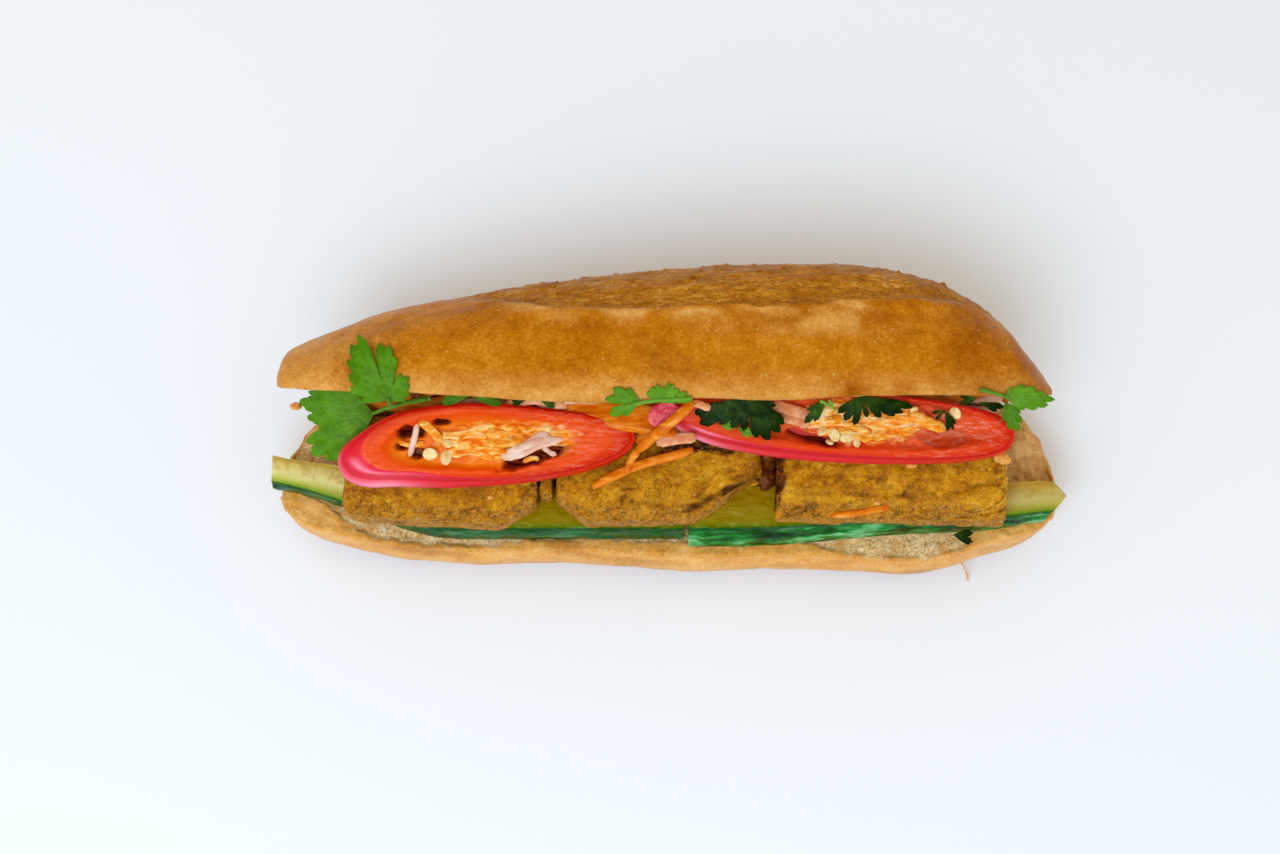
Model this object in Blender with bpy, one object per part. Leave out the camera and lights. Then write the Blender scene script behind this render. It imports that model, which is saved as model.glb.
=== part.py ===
"""A banh mi sandwich: a split white roll, hinged at the back, filled with cucumber, fried tofu, red chili,
pickled carrot and radish. Metres, +Z up, X along the roll, -Y at the open side, standing on the flat base."""

import math

import bmesh
import bpy
from mathutils import Matrix, Vector, noise

MM = 0.001

# Driving dimensions of the roll
HALF_LENGTH = 117.5 * MM
BACK_Y = 22.0 * MM          # back of the roll, where the hinge is
CUT_Z = 24.0 * MM           # height of the cut through the roll
WIDEST_Z = 12.5 * MM
TOP_HALF_DEPTH = 58.0 * MM  # from the hinge to the front edge of the upper half
TOP_OPENS = math.radians(63.0)
HINGE = Vector((0.0, BACK_Y, 25.0 * MM))
TO_CENTRE = Vector((0.25, 0.5, 0.0)) * MM   # moves the middle of the whole to the origin

# Uneven outlines of the roll, as (x, size) in millimetres
LOWER_FRONT_Y = (
    (-117.5, -20.5), (-116, -25), (-112, -29), (-104, -33), (-92, -36), (-76, -38.7), (-57, -39.8),
    (-33, -39.6), (-8, -41), (12, -41.8), (34, -41.2), (56, -42), (73, -43), (84, -41), (97, -37),
    (110, -33), (116, -28), (117.5, -21),
)
LOWER_BACK_Y = (
    (-117.5, -17), (-114, -7), (-105, 4), (-92, 12), (-70, 18), (-40, 21), (0, 22), (45, 22), (75, 19),
    (92, 14), (105, 7), (113, -3), (117.5, -17),
)
UPPER_RISE = (
    (-114.5, 2.4), (-112.8, 7.0), (-109.5, 9.4), (-99, 13.3), (-79, 20.3), (-49, 24.8), (-6, 30.6),
    (23, 32.4), (52, 32.5), (73, 28.9), (89, 22.4), (97, 16.4), (103, 9.2), (106.5, 4.4), (109.5, 0.6),
)
SCORE_MIDDLE = 18.0 * MM     # the baker's cut opened along the upper half
SCORE_REACH = 88.0 * MM
SCORE_NEAR, SCORE_FAR = math.radians(46), math.radians(118)
UPPER_EDGE_WAVE = (
    (-114.5, -0.8), (-107, 0), (-72, 1.2), (-20, -0.6), (8, 0.9), (30, 0.2), (48, 1.2), (72, 1.6), (93, 0.8),
    (109.5, -0.4),
)

# Driving dimensions of the filling
GAP = 0.4 * MM              # between pieces that touch
CUCUMBER_TOP_Z = 33.5 * MM
TOFU_BASE_Z = CUCUMBER_TOP_Z + GAP
TOFU_BACK_Y = -2.5 * MM
CHILI_DEPTH = 6.2 * MM
CHILI_TILT = math.radians(24.0)

CRUST = ((0.62, 0.33, 0.10), 0.55)
CUCUMBER = ((0.30, 0.46, 0.10), 0.30)
TOFU = ((0.46, 0.27, 0.05), 0.60)
CHILI = ((0.70, 0.08, 0.02), 0.22)
CARROT = ((0.85, 0.30, 0.03), 0.35)
PICKLES = ((0.60, 0.22, 0.04), 0.35)
RADISH = ((0.80, 0.45, 0.42), 0.30)


def material(name, look):
    colour, roughness = look
    made = bpy.data.materials.new(name)
    made.use_nodes = True
    shader = made.node_tree.nodes["Principled BSDF"]
    shader.inputs["Base Color"].default_value = (*colour, 1.0)
    shader.inputs["Roughness"].default_value = roughness
    shader.inputs["Metallic"].default_value = 0.0
    return made


def collection(name):
    made = bpy.data.collections.new(name)
    bpy.context.scene.collection.children.link(made)
    return made


def object_of(mesh, name, look, group):
    mesh.name = name
    mesh.materials.append(look)
    mesh.shade_smooth()
    made = bpy.data.objects.new(name, mesh)
    group.objects.link(made)
    return made


def mesh_of(bm):
    bmesh.ops.recalc_face_normals(bm, faces=bm.faces)
    mesh = bpy.data.meshes.new("mesh")
    bm.to_mesh(mesh)
    bm.free()
    return mesh


def smoothstep(low, high, value):
    t = min(1.0, max(0.0, (value - low) / (high - low)))
    return t * t * (3.0 - 2.0 * t)


def bump(centre, reach, value):
    return math.exp(-(((value - centre) / reach) ** 2))


def profile(x, stations_mm):
    """A size in metres at x, on a smooth curve through (x, size) stations."""
    at = x / MM
    at = min(max(at, stations_mm[0][0]), stations_mm[-1][0])
    k = next(i for i in range(len(stations_mm) - 1) if at <= stations_mm[i + 1][0])
    (x0, y0), (x1, y1) = stations_mm[k], stations_mm[k + 1]

    def rise(i):
        (xa, ya), (xb, yb) = stations_mm[i], stations_mm[i + 1]
        return (yb - ya) / (xb - xa)

    def slope(i):
        before, after = rise(max(i - 1, 0)), rise(min(i, len(stations_mm) - 2))
        return 0.0 if before * after <= 0 else 2 * before * after / (before + after)

    span = x1 - x0
    t = (at - x0) / span
    m0, m1 = slope(k), slope(k + 1)
    value = (
        (2 * t**3 - 3 * t**2 + 1) * y0
        + (t**3 - 2 * t**2 + t) * span * m0
        + (3 * t**2 - 2 * t**3) * y1
        + (t**3 - t**2) * span * m1
    )
    return value * MM


def wobble(x, y, z, seed):
    """Smooth unevenness between -1 and 1, the same on every run."""
    return noise.noise(Vector((x + seed * 7.3, y - seed * 3.1, z + seed * 1.7)))


def fullness(s, inner_power, outer_power):
    """1 in the middle of a rounded outline and 0 at its tip, where s is 1."""
    return (1.0 - min(abs(s), 1.0) ** inner_power) ** (1.0 / outer_power)


def loft(rings):
    """A closed surface through rings of equally many points, with each end closed by a fan."""
    bm = bmesh.new()
    rows = [[bm.verts.new(p) for p in ring] for ring in rings]
    for row, following in zip(rows, rows[1:]):
        for i, corner in enumerate(row):
            j = (i + 1) % len(row)
            bm.faces.new((corner, row[j], following[j], following[i]))
    for row in (rows[0], rows[-1]):
        middle = bm.verts.new(sum((v.co for v in row), Vector()) / len(row))
        for i, corner in enumerate(row):
            bm.faces.new((corner, row[(i + 1) % len(row)], middle))
    return mesh_of(bm)


def stations(low, high, count):
    """Places from low to high, packed closer towards both ends."""
    return [low + (high - low) * 0.5 * (1.0 - math.cos(math.pi * i / (count - 1))) for i in range(count)]


# The roll

def lower_half_ring(x, crust_points=19, cut_points=8):
    s = x / HALF_LENGTH
    front_y, back_y = profile(x, LOWER_FRONT_Y), profile(x, LOWER_BACK_Y)
    middle, half = (front_y + back_y) / 2, (back_y - front_y) / 2
    base = 11.0 * MM * smoothstep(0.78, 1.0, abs(s)) ** 1.6
    cut = CUT_Z - 2.0 * MM * smoothstep(0.85, 1.0, abs(s))
    lip = 0.93                # the cut edge stands in from the widest line
    ring = []
    for i in range(crust_points):
        angle = math.pi * i / (crust_points - 1)
        across, down = -math.cos(angle), math.sin(angle)
        y = math.copysign(abs(across) ** 0.7, across)
        z = WIDEST_Z - (WIDEST_Z - base) * min(1.0, 1.06 * down ** 0.75)
        ring.append((x, middle + half * y, z))
    ring.append((x, middle + half * 0.985, (WIDEST_Z + cut) / 2))
    for i in range(cut_points):
        across = 1.0 - 2.0 * i / (cut_points - 1)
        dish = 1.5 * MM * (1.0 - across ** 2) * fullness(s, 4.0, 1.0)
        ring.append((x, middle + half * lip * across, cut - dish))
    ring.append((x, middle - half * 0.985, (WIDEST_Z + cut) / 2))
    return ring


def upper_point(x, along, out):
    """A point of the upper half: along from the hinge to the front edge, and out from the cut face."""
    y = HINGE.y - along * math.cos(TOP_OPENS) + out * math.sin(TOP_OPENS)
    z = HINGE.z + along * math.sin(TOP_OPENS) + out * math.cos(TOP_OPENS)
    return (x, y, z)


def score_relief(x, angle):
    """The raised lip of the baker's cut, the groove behind it and the swollen bread between its two sides."""
    away = abs(x - SCORE_MIDDLE) / SCORE_REACH
    if away >= 1.0:
        return 0.0
    near = SCORE_NEAR + math.radians(54) * away ** 3
    far = SCORE_FAR - math.radians(16) * away ** 3
    lip = 1.2 * MM * bump(near, math.radians(6), angle)
    groove = 0.9 * MM * bump(near + math.radians(12), math.radians(7), angle)
    swelling = 0.9 * MM * bump((near + far) / 2, max(far - near, 0.1) / 3, angle)
    return (lip - groove + swelling) * smoothstep(1.0, 0.75, away)


def upper_half_ring(x, crust_points=23, cut_points=8):
    left, right = UPPER_RISE[0][0] * MM, UPPER_RISE[-1][0] * MM
    s = (x - (left + right) / 2) / ((right - left) / 2)
    tip = 34.0 * MM if x < 0 else 46.5 * MM
    front = tip + (TOP_HALF_DEPTH - tip) * (fullness(s, 2.2, 2.0) if x < 0 else fullness(s, 5.0, 2.2))
    back = tip * (1.0 - fullness(s, 4.0, 2.2))
    rise, wave = profile(x, UPPER_RISE), profile(x, UPPER_EDGE_WAVE)
    middle, half = (front + back) / 2, (front - back) / 2
    ring = []
    for i in range(crust_points):
        angle = math.pi * i / (crust_points - 1)
        across, out = math.cos(angle), math.sin(angle)
        u = math.copysign(abs(across) ** 0.9, across)
        height = rise * out ** 0.9 + score_relief(x, angle) + wave * max(u, 0.0) ** 4
        ring.append(upper_point(x, middle + half * u, height))
    for i in range(1, cut_points):
        across = -1.0 + 2.0 * i / cut_points
        dish = 2.5 * MM * (1.0 - across ** 2) * fullness(s, 4.0, 1.0)
        ring.append(upper_point(x, middle + half * across, dish + wave * max(across, 0.0) ** 4))
    return ring


def crumb_hinge():
    """The uncut strip that joins the halves: a long ellipsoid along the hinge line."""
    bm = bmesh.new()
    bmesh.ops.create_uvsphere(bm, u_segments=16, v_segments=20, radius=1.0)
    turned = Matrix.Rotation(math.pi / 2, 4, "Y")
    size = Matrix.Diagonal((98 * MM, 8.8 * MM, 9.5 * MM, 1.0))
    place = Matrix.Translation((0.0, BACK_Y - 3.4 * MM, HINGE.z - 2.0 * MM))
    bmesh.ops.transform(bm, matrix=place @ size @ turned, verts=bm.verts)
    return mesh_of(bm)


def baguette(group, helpers, look):
    """One piece of bread: two lofted halves and the hinge, joined."""
    inset = 0.2 * MM
    lower = loft([lower_half_ring(x) for x in stations(-HALF_LENGTH + inset, HALF_LENGTH - inset, 34)])
    left, right = UPPER_RISE[0][0] * MM + inset, UPPER_RISE[-1][0] * MM - inset
    upper = loft([upper_half_ring(x) for x in stations(left, right, 38)])
    roll = object_of(lower, "baguette", look, group)
    for name, mesh in (("upper_half", upper), ("hinge_strip", crumb_hinge())):
        added = object_of(mesh, name, look, helpers)
        added.hide_render = True
        added.display_type = "WIRE"
        join = roll.modifiers.new(name, "BOOLEAN")
        join.operation = "UNION"
        join.solver = "EXACT"
        join.object = added
    return roll


# The filling

def cucumber_spear(start, end, edge_at, lean_at, width_at, square_end):
    """A lengthwise wedge with its flesh up and its skin to the front, between two x places."""
    base_z = CUT_Z + GAP
    rings = []
    count = 14
    for i in range(count):
        t = i / (count - 1)
        x = start + (end - start) * t
        edge, lean, width = edge_at(x), lean_at(x), width_at(x)
        top = CUCUMBER_TOP_Z - 0.5 * MM * (2 * t - 1) ** 2
        ring = []
        for k in range(5):                      # the rounded skin, from the top edge down
            q = k / 4
            bulge = 0.9 * MM * math.sin(math.pi * q)
            ring.append((edge - lean * q - bulge, top - (top - base_z) * q))
        ring.append((edge + 0.55 * width, base_z))
        ring.append((edge + 0.92 * width, base_z + 3.0 * MM))
        ring.append((edge + width, top - 0.4 * MM))
        ring.append((edge + 0.5 * width, top))
        slant = 0.0 if square_end else 4.0 * MM * smoothstep(0.85, 1.0, t)
        rings.append([(x - slant * ((y - edge - 0.35 * width) / width) ** 2 * 2.0, y, z) for y, z in ring])
    return loft(rings)


def left_spear(start, end):
    return cucumber_spear(
        start,
        end,
        lambda x: -33.0 * MM + 15.0 * MM * smoothstep(-62 * MM, -128 * MM, x),
        lambda x: 1.6 * MM,
        lambda x: 13.0 * MM - 4.5 * MM * smoothstep(-80 * MM, -119 * MM, x),
        True,
    )


def right_spear(start, end):
    return cucumber_spear(
        start,
        end,
        lambda x: -32.8 * MM + 2.6 * MM * smoothstep(20, 75, x / MM) + 2.6 * MM * smoothstep(85, 122, x / MM),
        lambda x: 4.0 * MM - 2.2 * MM * smoothstep(20 * MM, 118 * MM, x),
        lambda x: 13.0 * MM - 3.2 * MM * smoothstep(70 * MM, 118 * MM, x),
        False,
    )


def tofu_slab(centre, length, depth, thickness, turn, seed, cut_corner, cuts):
    """A soft fried slab: a gridded cube with rounded corners and uneven faces."""
    bm = bmesh.new()
    bmesh.ops.create_cube(bm, size=2.0)
    bmesh.ops.subdivide_edges(bm, edges=bm.edges, cuts=cuts, use_grid_fill=True)
    half = Vector((length / 2, depth / 2, thickness / 2))
    rounding = 0.16
    for v in bm.verts:
        x, y, z = v.co
        soft = 1.0 - rounding * ((x * y) ** 4 + (y * z) ** 4 + (z * x) ** 4) / 1.5
        uneven = 1.0 - 0.035 * (1.0 + wobble(x * 1.3, y * 1.3, z * 1.3, seed))
        slant = 1.0 - cut_corner * smoothstep(0.2, 1.05, x) * smoothstep(0.2, -1.0, y)
        full = soft * uneven
        v.co = Vector((x * half.x * full, y * half.y * full * slant, z * half.z * full))
    place = Matrix.Translation(centre) @ Matrix.Rotation(turn, 4, "Z")
    bmesh.ops.transform(bm, matrix=place, verts=bm.verts)
    return mesh_of(bm)


def chili_ring_at(angle, face, shoulder, bend, blunt, hole, skin):
    """Eight points round the wall of a slanting slice: its cut face, its skin and its hollow side."""
    c, s = math.cos(angle), math.sin(angle)
    power = 2.0 / (2.08 - 0.08 * c + blunt * max(0.0, c))
    narrower = 1.0 - shoulder * smoothstep(-0.3, 0.6, c) * smoothstep(0.0, 0.5, s)   # far side slopes to +X
    across = face[1] * math.copysign(abs(s) ** power, s) * narrower
    across += bend * smoothstep(0.45, 1.0, -c) ** 1.5                # the -X end points sideways
    rim = Vector((face[0] * math.copysign(abs(c) ** power, c), across, 0.0))
    inner = Vector((hole[2] + hole[0] * c, hole[3] + hole[1] * s, 0.0))
    outward = Vector((c / face[0], s / face[1], 0.0)).normalized()
    towards = max(0.0, math.cos(angle - skin[1]))
    belly = skin[0] * (0.2 + 0.8 * towards ** 2)
    down = Vector((0.0, -math.sin(CHILI_TILT), -math.cos(CHILI_TILT))) * CHILI_DEPTH   # wall hangs upright
    return (
        inner,
        rim.lerp(inner, 0.45) + Vector((0.0, 0.0, 0.3 * MM)),
        rim,
        rim + outward * belly * 0.75 + down * 0.18,
        rim + outward * belly + down * 0.45,
        rim + outward * belly * 0.4 + down * 0.85,
        rim.lerp(inner, 0.45) + down,
        rim.lerp(inner, 0.80) + down * 0.55,
    )


def chili(name, centre, outline, hole, skin, turn, core, group, helpers, look):
    """A long slanting slice: an oval wall that tilts back, and the seed core across its hollow."""
    segments = 32
    bm = bmesh.new()
    rows = []
    for i in range(segments):
        ring = chili_ring_at(2 * math.pi * i / segments, *outline, hole, skin)
        rows.append([bm.verts.new(p) for p in ring])
    for row, following in zip(rows, rows[1:] + rows[:1]):
        for k in range(8):
            bm.faces.new((row[k], row[(k + 1) % 8], following[(k + 1) % 8], following[k]))
    place = Matrix.Translation(centre) @ Matrix.Rotation(turn, 4, "Z") @ Matrix.Rotation(CHILI_TILT, 4, "X")
    bmesh.ops.transform(bm, matrix=place, verts=bm.verts)
    piece = object_of(mesh_of(bm), name, look, group)

    at_x, at_y, length, width = core
    bm = bmesh.new()
    bmesh.ops.create_uvsphere(bm, u_segments=16, v_segments=10, radius=1.0)
    size = Matrix.Diagonal((length, width, CHILI_DEPTH * 0.30, 1.0))
    stand = Matrix.Translation((at_x, at_y, -0.42 * CHILI_DEPTH))
    bmesh.ops.transform(bm, matrix=place @ stand @ size @ Matrix.Rotation(math.pi / 2, 4, "Y"), verts=bm.verts)
    for v in bm.verts:
        v.co += Vector((0, 0, 0.8 * MM)) * wobble(v.co.x * 150, v.co.y * 150, 0, 8)
    added = object_of(mesh_of(bm), name + "_core", look, helpers)
    added.hide_render = True
    added.display_type = "WIRE"
    join = piece.modifiers.new("core", "BOOLEAN")
    join.operation = "UNION"
    join.solver = "EXACT"
    join.object = added
    return piece


def inner_face_y(z):
    """Where the upper half's cut face stands at a height, without its dish."""
    return HINGE.y - (z - HINGE.z) / math.tan(TOP_OPENS)


def pickle_heap():
    """The heap of carrot and radish shreds, behind and under the tofu, up to the upper half."""
    clear = 0.8 * MM
    low_z, step_z = CUT_Z + GAP, TOFU_BASE_Z - GAP
    rings = []
    for x in stations(-100 * MM, 99 * MM, 24):
        high_z = 49.5 * MM + 5.0 * MM * bump(-9 * MM, 9 * MM, x)
        end = abs(x + 0.5 * MM) / (99.5 * MM)
        shrink = 1.0 - 0.55 * smoothstep(0.80, 1.0, end)
        front = -17.6 * MM + 15.0 * MM * smoothstep(-62 * MM, -128 * MM, x)
        front += 3.0 * MM * smoothstep(20 * MM, 99 * MM, x)
        corners = [
            Vector((x, front, low_z)),
            Vector((x, BACK_Y - 14.0 * MM, low_z + 0.6 * MM)),
            Vector((x, inner_face_y(33 * MM) - clear - 1.5 * MM, 33 * MM)),
            Vector((x, inner_face_y(high_z) - clear, high_z)),
            Vector((x, TOFU_BACK_Y + 3.0 * MM, high_z - 1.0 * MM)),
            Vector((x, TOFU_BACK_Y + 3.0 * MM, step_z)),
            Vector((x, front, step_z)),
        ]
        middle = Vector((x, 3.0 * MM, 31.0 * MM))
        ring = []
        for a, b in zip(corners, corners[1:] + corners[:1]):
            for k in range(3):
                point = a.lerp(b, k / 3)
                dent = 0.93 + 0.07 * wobble(x * 90, point.y * 140, point.z * 140, 5)
                ring.append(middle + (point - middle) * min(dent, 0.985) * shrink)
        rings.append(ring)
    return loft(rings)


def strip(points_mm, width, thickness):
    """A shred cut with square sides, through points in millimetres, narrower at both ends."""
    points = [Vector(p) * MM for p in points_mm]
    rings = []
    for i, point in enumerate(points):
        forward = (points[min(i + 1, len(points) - 1)] - points[max(i - 1, 0)]).normalized()
        side = forward.cross(Vector((0, 0, 1))).normalized()
        up = side.cross(forward)
        full = 0.7 if i in (0, len(points) - 1) else 1.0
        half, deep = side * width * full / 2, up * thickness * full / 2
        rings.append([point - half - deep, point + half - deep, point + half + deep, point - half + deep])
    return loft(rings)


def radish_round(centre, radii, thickness, tilts):
    """A thin slice of radish, bowed like a shallow dish."""
    bm = bmesh.new()
    bmesh.ops.create_uvsphere(bm, u_segments=16, v_segments=8, radius=1.0)
    bmesh.ops.transform(bm, matrix=Matrix.Diagonal((*radii, thickness / 2, 1.0)), verts=bm.verts)
    for v in bm.verts:
        v.co.z += thickness * 0.5 * ((v.co.x / radii[0]) ** 2)
    turn = Matrix.Rotation(tilts[1], 4, "Z") @ Matrix.Rotation(tilts[0], 4, "X")
    bmesh.ops.transform(bm, matrix=Matrix.Translation(centre) @ turn, verts=bm.verts)
    return mesh_of(bm)


def filling(group, helpers):
    looks = {
        name: material(name, look)
        for name, look in (
            ("cucumber", CUCUMBER),
            ("tofu", TOFU),
            ("chili", CHILI),
            ("carrot", CARROT),
            ("pickles", PICKLES),
            ("radish", RADISH),
        )
    }
    object_of(left_spear(-119.0 * MM, 4.6 * MM), "cucumber_left", looks["cucumber"], group)
    object_of(right_spear(6.0 * MM, 119.0 * MM), "cucumber_right", looks["cucumber"], group)

    slabs = (
        ("tofu_left", (-67.0, -17.5), (57.0, 31), 13.0, -3, 1, 0.0, 5),
        ("tofu_middle", (-3.0, -17.0), (61.0, 31), 13.0, 2, 2, 0.8, 5),
        ("tofu_right", (65.7, -16.6), (68.0, 31), 13.0, -1, 3, 0.0, 5),
        ("tofu_chunk", (-36.2, -16.5), (4.4, 18), 10.4, 0, 4, 0.0, 3),
    )
    for name, (x, y), (length, depth), thickness, turn, seed, corner, cuts in slabs:
        centre = Vector((x * MM, y * MM, TOFU_BASE_Z + thickness * MM / 2))
        sizes = (length * MM, depth * MM, thickness * MM)
        slab = tofu_slab(centre, *sizes, math.radians(turn), seed, corner, cuts)
        object_of(slab, name, looks["tofu"], group)

    slices = (
        (
            "chili_left",
            Vector((-52.3, -11.6, 57.5)) * MM,
            ((42.0 * MM, 11.5 * MM), 0.17, -3.6 * MM, 0.0),
            (25.0 * MM, 6.4 * MM, -4.0 * MM, 0.8 * MM),
            (2.8 * MM, math.radians(205)),
            math.radians(2),
            (-4.0 * MM, 3.0 * MM, 24.0 * MM, 4.6 * MM),
        ),
        (
            "chili_right",
            Vector((50.3, -6.6, 57.9)) * MM,
            ((49.6 * MM, 9.6 * MM), 0.0, 0.0, 0.7),
            (34.0 * MM, 6.0 * MM, -4.0 * MM, 0.4 * MM),
            (1.6 * MM, math.radians(240)),
            math.radians(-4),
            (2.0 * MM, 2.2 * MM, 24.0 * MM, 4.8 * MM),
        ),
    )
    for name, centre, outline, hole, skin, turn, core in slices:
        chili(name, centre, outline, hole, skin, turn, core, group, helpers, looks["chili"])

    object_of(pickle_heap(), "pickle_heap", looks["pickles"], group)
    strips = (
        ("carrot_strip_back", ((6.8, -2.7, 65.0), (2.4, -6.3, 64.9), (-3.0, -10.6, 61.9), (-9.2, -13.4, 53.8))),
        (
            "carrot_strip_front",
            ((6.4, -12.6, 50.4), (0, -14.2, 49.5), (-9, -18.2, 48.9), (-17, -21.6, 48.6), (-22, -24, 48.4)),
        ),
        ("carrot_strip_right", ((47, -33.6, 38.2), (55, -33.4, 39.0), (64, -33.0, 39.5))),
    )
    for name, points in strips:
        object_of(strip(points, 2.9 * MM, 2.4 * MM), name, looks["carrot"], group)
    rounds = (
        ("radish_curl", (-1.6, -4.6, 60.9), (4.8, 3.6), 1.8, (8, 20)),
        ("radish_slice", (-38.0, 1.7, 58.5), (8.8, 2.0), 1.4, (10, 0)),
    )
    for name, centre, radii, thickness, tilts in rounds:
        turned = (math.radians(tilts[0]), math.radians(tilts[1]))
        piece = radish_round(Vector(centre) * MM, (radii[0] * MM, radii[1] * MM), thickness * MM, turned)
        object_of(piece, name, looks["radish"], group)


def main():
    for old in list(bpy.data.objects):
        bpy.data.objects.remove(old, do_unlink=True)
    sandwich = collection("banh_mi_sandwich")
    helpers = collection("cutters_and_joiners")
    helpers.hide_render = True
    baguette(sandwich, helpers, material("crust", CRUST))
    filling(sandwich, helpers)
    for piece in (*sandwich.objects, *helpers.objects):
        piece.location += TO_CENTRE


main()
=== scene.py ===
"""The looks of a banh mi sandwich: bread, cucumber, fried tofu, chili, pickles and coriander.
"""

import math

import bpy
import numpy as np
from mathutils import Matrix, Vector


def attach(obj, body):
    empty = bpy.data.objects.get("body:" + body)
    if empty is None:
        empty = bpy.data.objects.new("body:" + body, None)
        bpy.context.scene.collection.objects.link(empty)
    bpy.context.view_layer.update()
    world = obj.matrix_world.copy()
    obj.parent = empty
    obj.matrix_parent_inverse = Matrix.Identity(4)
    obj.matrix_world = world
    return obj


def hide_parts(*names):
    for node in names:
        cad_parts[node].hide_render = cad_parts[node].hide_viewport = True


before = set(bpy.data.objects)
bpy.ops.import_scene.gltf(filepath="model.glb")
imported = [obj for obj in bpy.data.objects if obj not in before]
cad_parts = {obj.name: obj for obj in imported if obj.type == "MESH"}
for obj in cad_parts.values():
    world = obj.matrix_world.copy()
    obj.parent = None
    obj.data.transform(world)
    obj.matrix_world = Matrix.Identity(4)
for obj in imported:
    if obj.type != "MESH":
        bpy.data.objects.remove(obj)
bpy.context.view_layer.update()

TO_CENTRE = np.array([0.25, 0.5, 0.0])

# The roll, as in the solids
HALF_LENGTH = 117.5
CUT_Z = 24.0
WIDEST_Z = 12.5
TOP_HALF_DEPTH = 58.0
TOP_OPENS = math.radians(63.0)
HINGE_Y, HINGE_Z = 22.0, 25.0
LOWER_FRONT_Y = (
    (-117.5, -20.5), (-116, -25), (-112, -29), (-104, -33), (-92, -36), (-76, -38.7), (-57, -39.8), (-33, -39.6),
    (-8, -41), (12, -41.8), (34, -41.2), (56, -42), (73, -43), (84, -41), (97, -37), (110, -33), (116, -28),
    (117.5, -21),
)
LOWER_BACK_Y = (
    (-117.5, -17), (-114, -7), (-105, 4), (-92, 12), (-70, 18), (-40, 21), (0, 22), (45, 22), (75, 19), (92, 14),
    (105, 7), (113, -3), (117.5, -17),
)
UPPER_RISE = (
    (-114.5, 2.4), (-112.8, 7.0), (-109.5, 9.4), (-99, 13.3), (-79, 20.3), (-49, 24.8), (-6, 30.6), (23, 32.4),
    (52, 32.5), (73, 28.9), (89, 22.4), (97, 16.4), (103, 9.2), (106.5, 4.4), (109.5, 0.6),
)
FOLDED_IN = ((-117, 9), (-106, 9), (-98, 5), (-88, 1), (-58, 1), (-44, 2.5), (0, 4), (36, 4), (50, 1.5), (62, 0.5),
             (88, 0.5), (94, 6), (117, 9))
UPPER_EDGE_WAVE = (
    (-114.5, -0.8), (-107, 0), (-72, 1.2), (-20, -0.6), (8, 0.9), (30, 0.2), (48, 1.2), (72, 1.6), (93, 0.8),
    (109.5, -0.4),
)
SCORE_MIDDLE, SCORE_REACH = 18.0, 88.0
SCORE_NEAR, SCORE_FAR = math.radians(46), math.radians(118)

# The filling, as in the solids
GAP = 0.4
CUCUMBER_TOP_Z = 33.5
TOFU_BASE_Z = CUCUMBER_TOP_Z + GAP
CHILI_DEPTH = 6.2
CHILI_TILT = math.radians(24.0)


# Numbers and curves

def srgb(red, green, blue):
    """A colour given from 0 to 255 as it looks, as the shader's linear numbers."""
    parts = [c / 255 for c in (red, green, blue)]
    return (*(c / 12.92 if c <= 0.04045 else ((c + 0.055) / 1.055) ** 2.4 for c in parts), 1.0)


def smoothstep(low, high, value):
    t = np.clip((np.asarray(value, float) - low) / (high - low), 0.0, 1.0)
    return t * t * (3.0 - 2.0 * t)


def bump(centre, reach, value):
    return np.exp(-(((value - centre) / reach) ** 2))


def fullness(s, inner_power, outer_power):
    """1 in the middle of a rounded outline and 0 at its tip, where s is 1."""
    return (1.0 - np.minimum(np.abs(s), 1.0) ** inner_power) ** (1.0 / outer_power)


def signed_power(value, power):
    return np.sign(value) * np.abs(value) ** power


def profile(x, sizes):
    """The size at x, on a smooth curve through (x, size) pairs."""
    xs, ys = np.array(sizes, float).T
    slopes = np.diff(ys) / np.diff(xs)
    rising = slopes[:-1] * slopes[1:] > 0
    at = np.zeros(len(xs))
    at[1:-1] = np.where(rising, 2 * slopes[:-1] * slopes[1:] / np.where(rising, slopes[:-1] + slopes[1:], 1.0), 0.0)
    at[0], at[-1] = slopes[0], slopes[-1]
    x = np.clip(x, xs[0], xs[-1])
    k = np.clip(np.searchsorted(xs, x) - 1, 0, len(xs) - 2)
    span = xs[k + 1] - xs[k]
    t = (x - xs[k]) / span
    return (
        (2 * t**3 - 3 * t**2 + 1) * ys[k]
        + (t**3 - 2 * t**2 + t) * span * at[k]
        + (3 * t**2 - 2 * t**3) * ys[k + 1]
        + (t**3 - t**2) * span * at[k + 1]
    )


def crowded(low, high, count):
    """Places from low to high, packed closer towards both ends."""
    return low + (high - low) * 0.5 * (1.0 - np.cos(np.pi * np.arange(count) / (count - 1)))


def curve_through(points, count):
    """A smooth path of that many points through a few given ones."""
    points = np.asarray(points, float)
    padded = np.concatenate([2 * points[:1] - points[1:2], points, 2 * points[-1:] - points[-2:-1]])
    t = np.linspace(0, len(points) - 1 - 1e-6, count)
    k = t.astype(int)
    f = (t - k)[:, None]
    p0, p1, p2, p3 = padded[k], padded[k + 1], padded[k + 2], padded[k + 3]
    return 0.5 * (2 * p1 + (p2 - p0) * f + (2 * p0 - 5 * p1 + 4 * p2 - p3) * f**2 + (3 * p1 - p0 - 3 * p2 + p3) * f**3)


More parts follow.
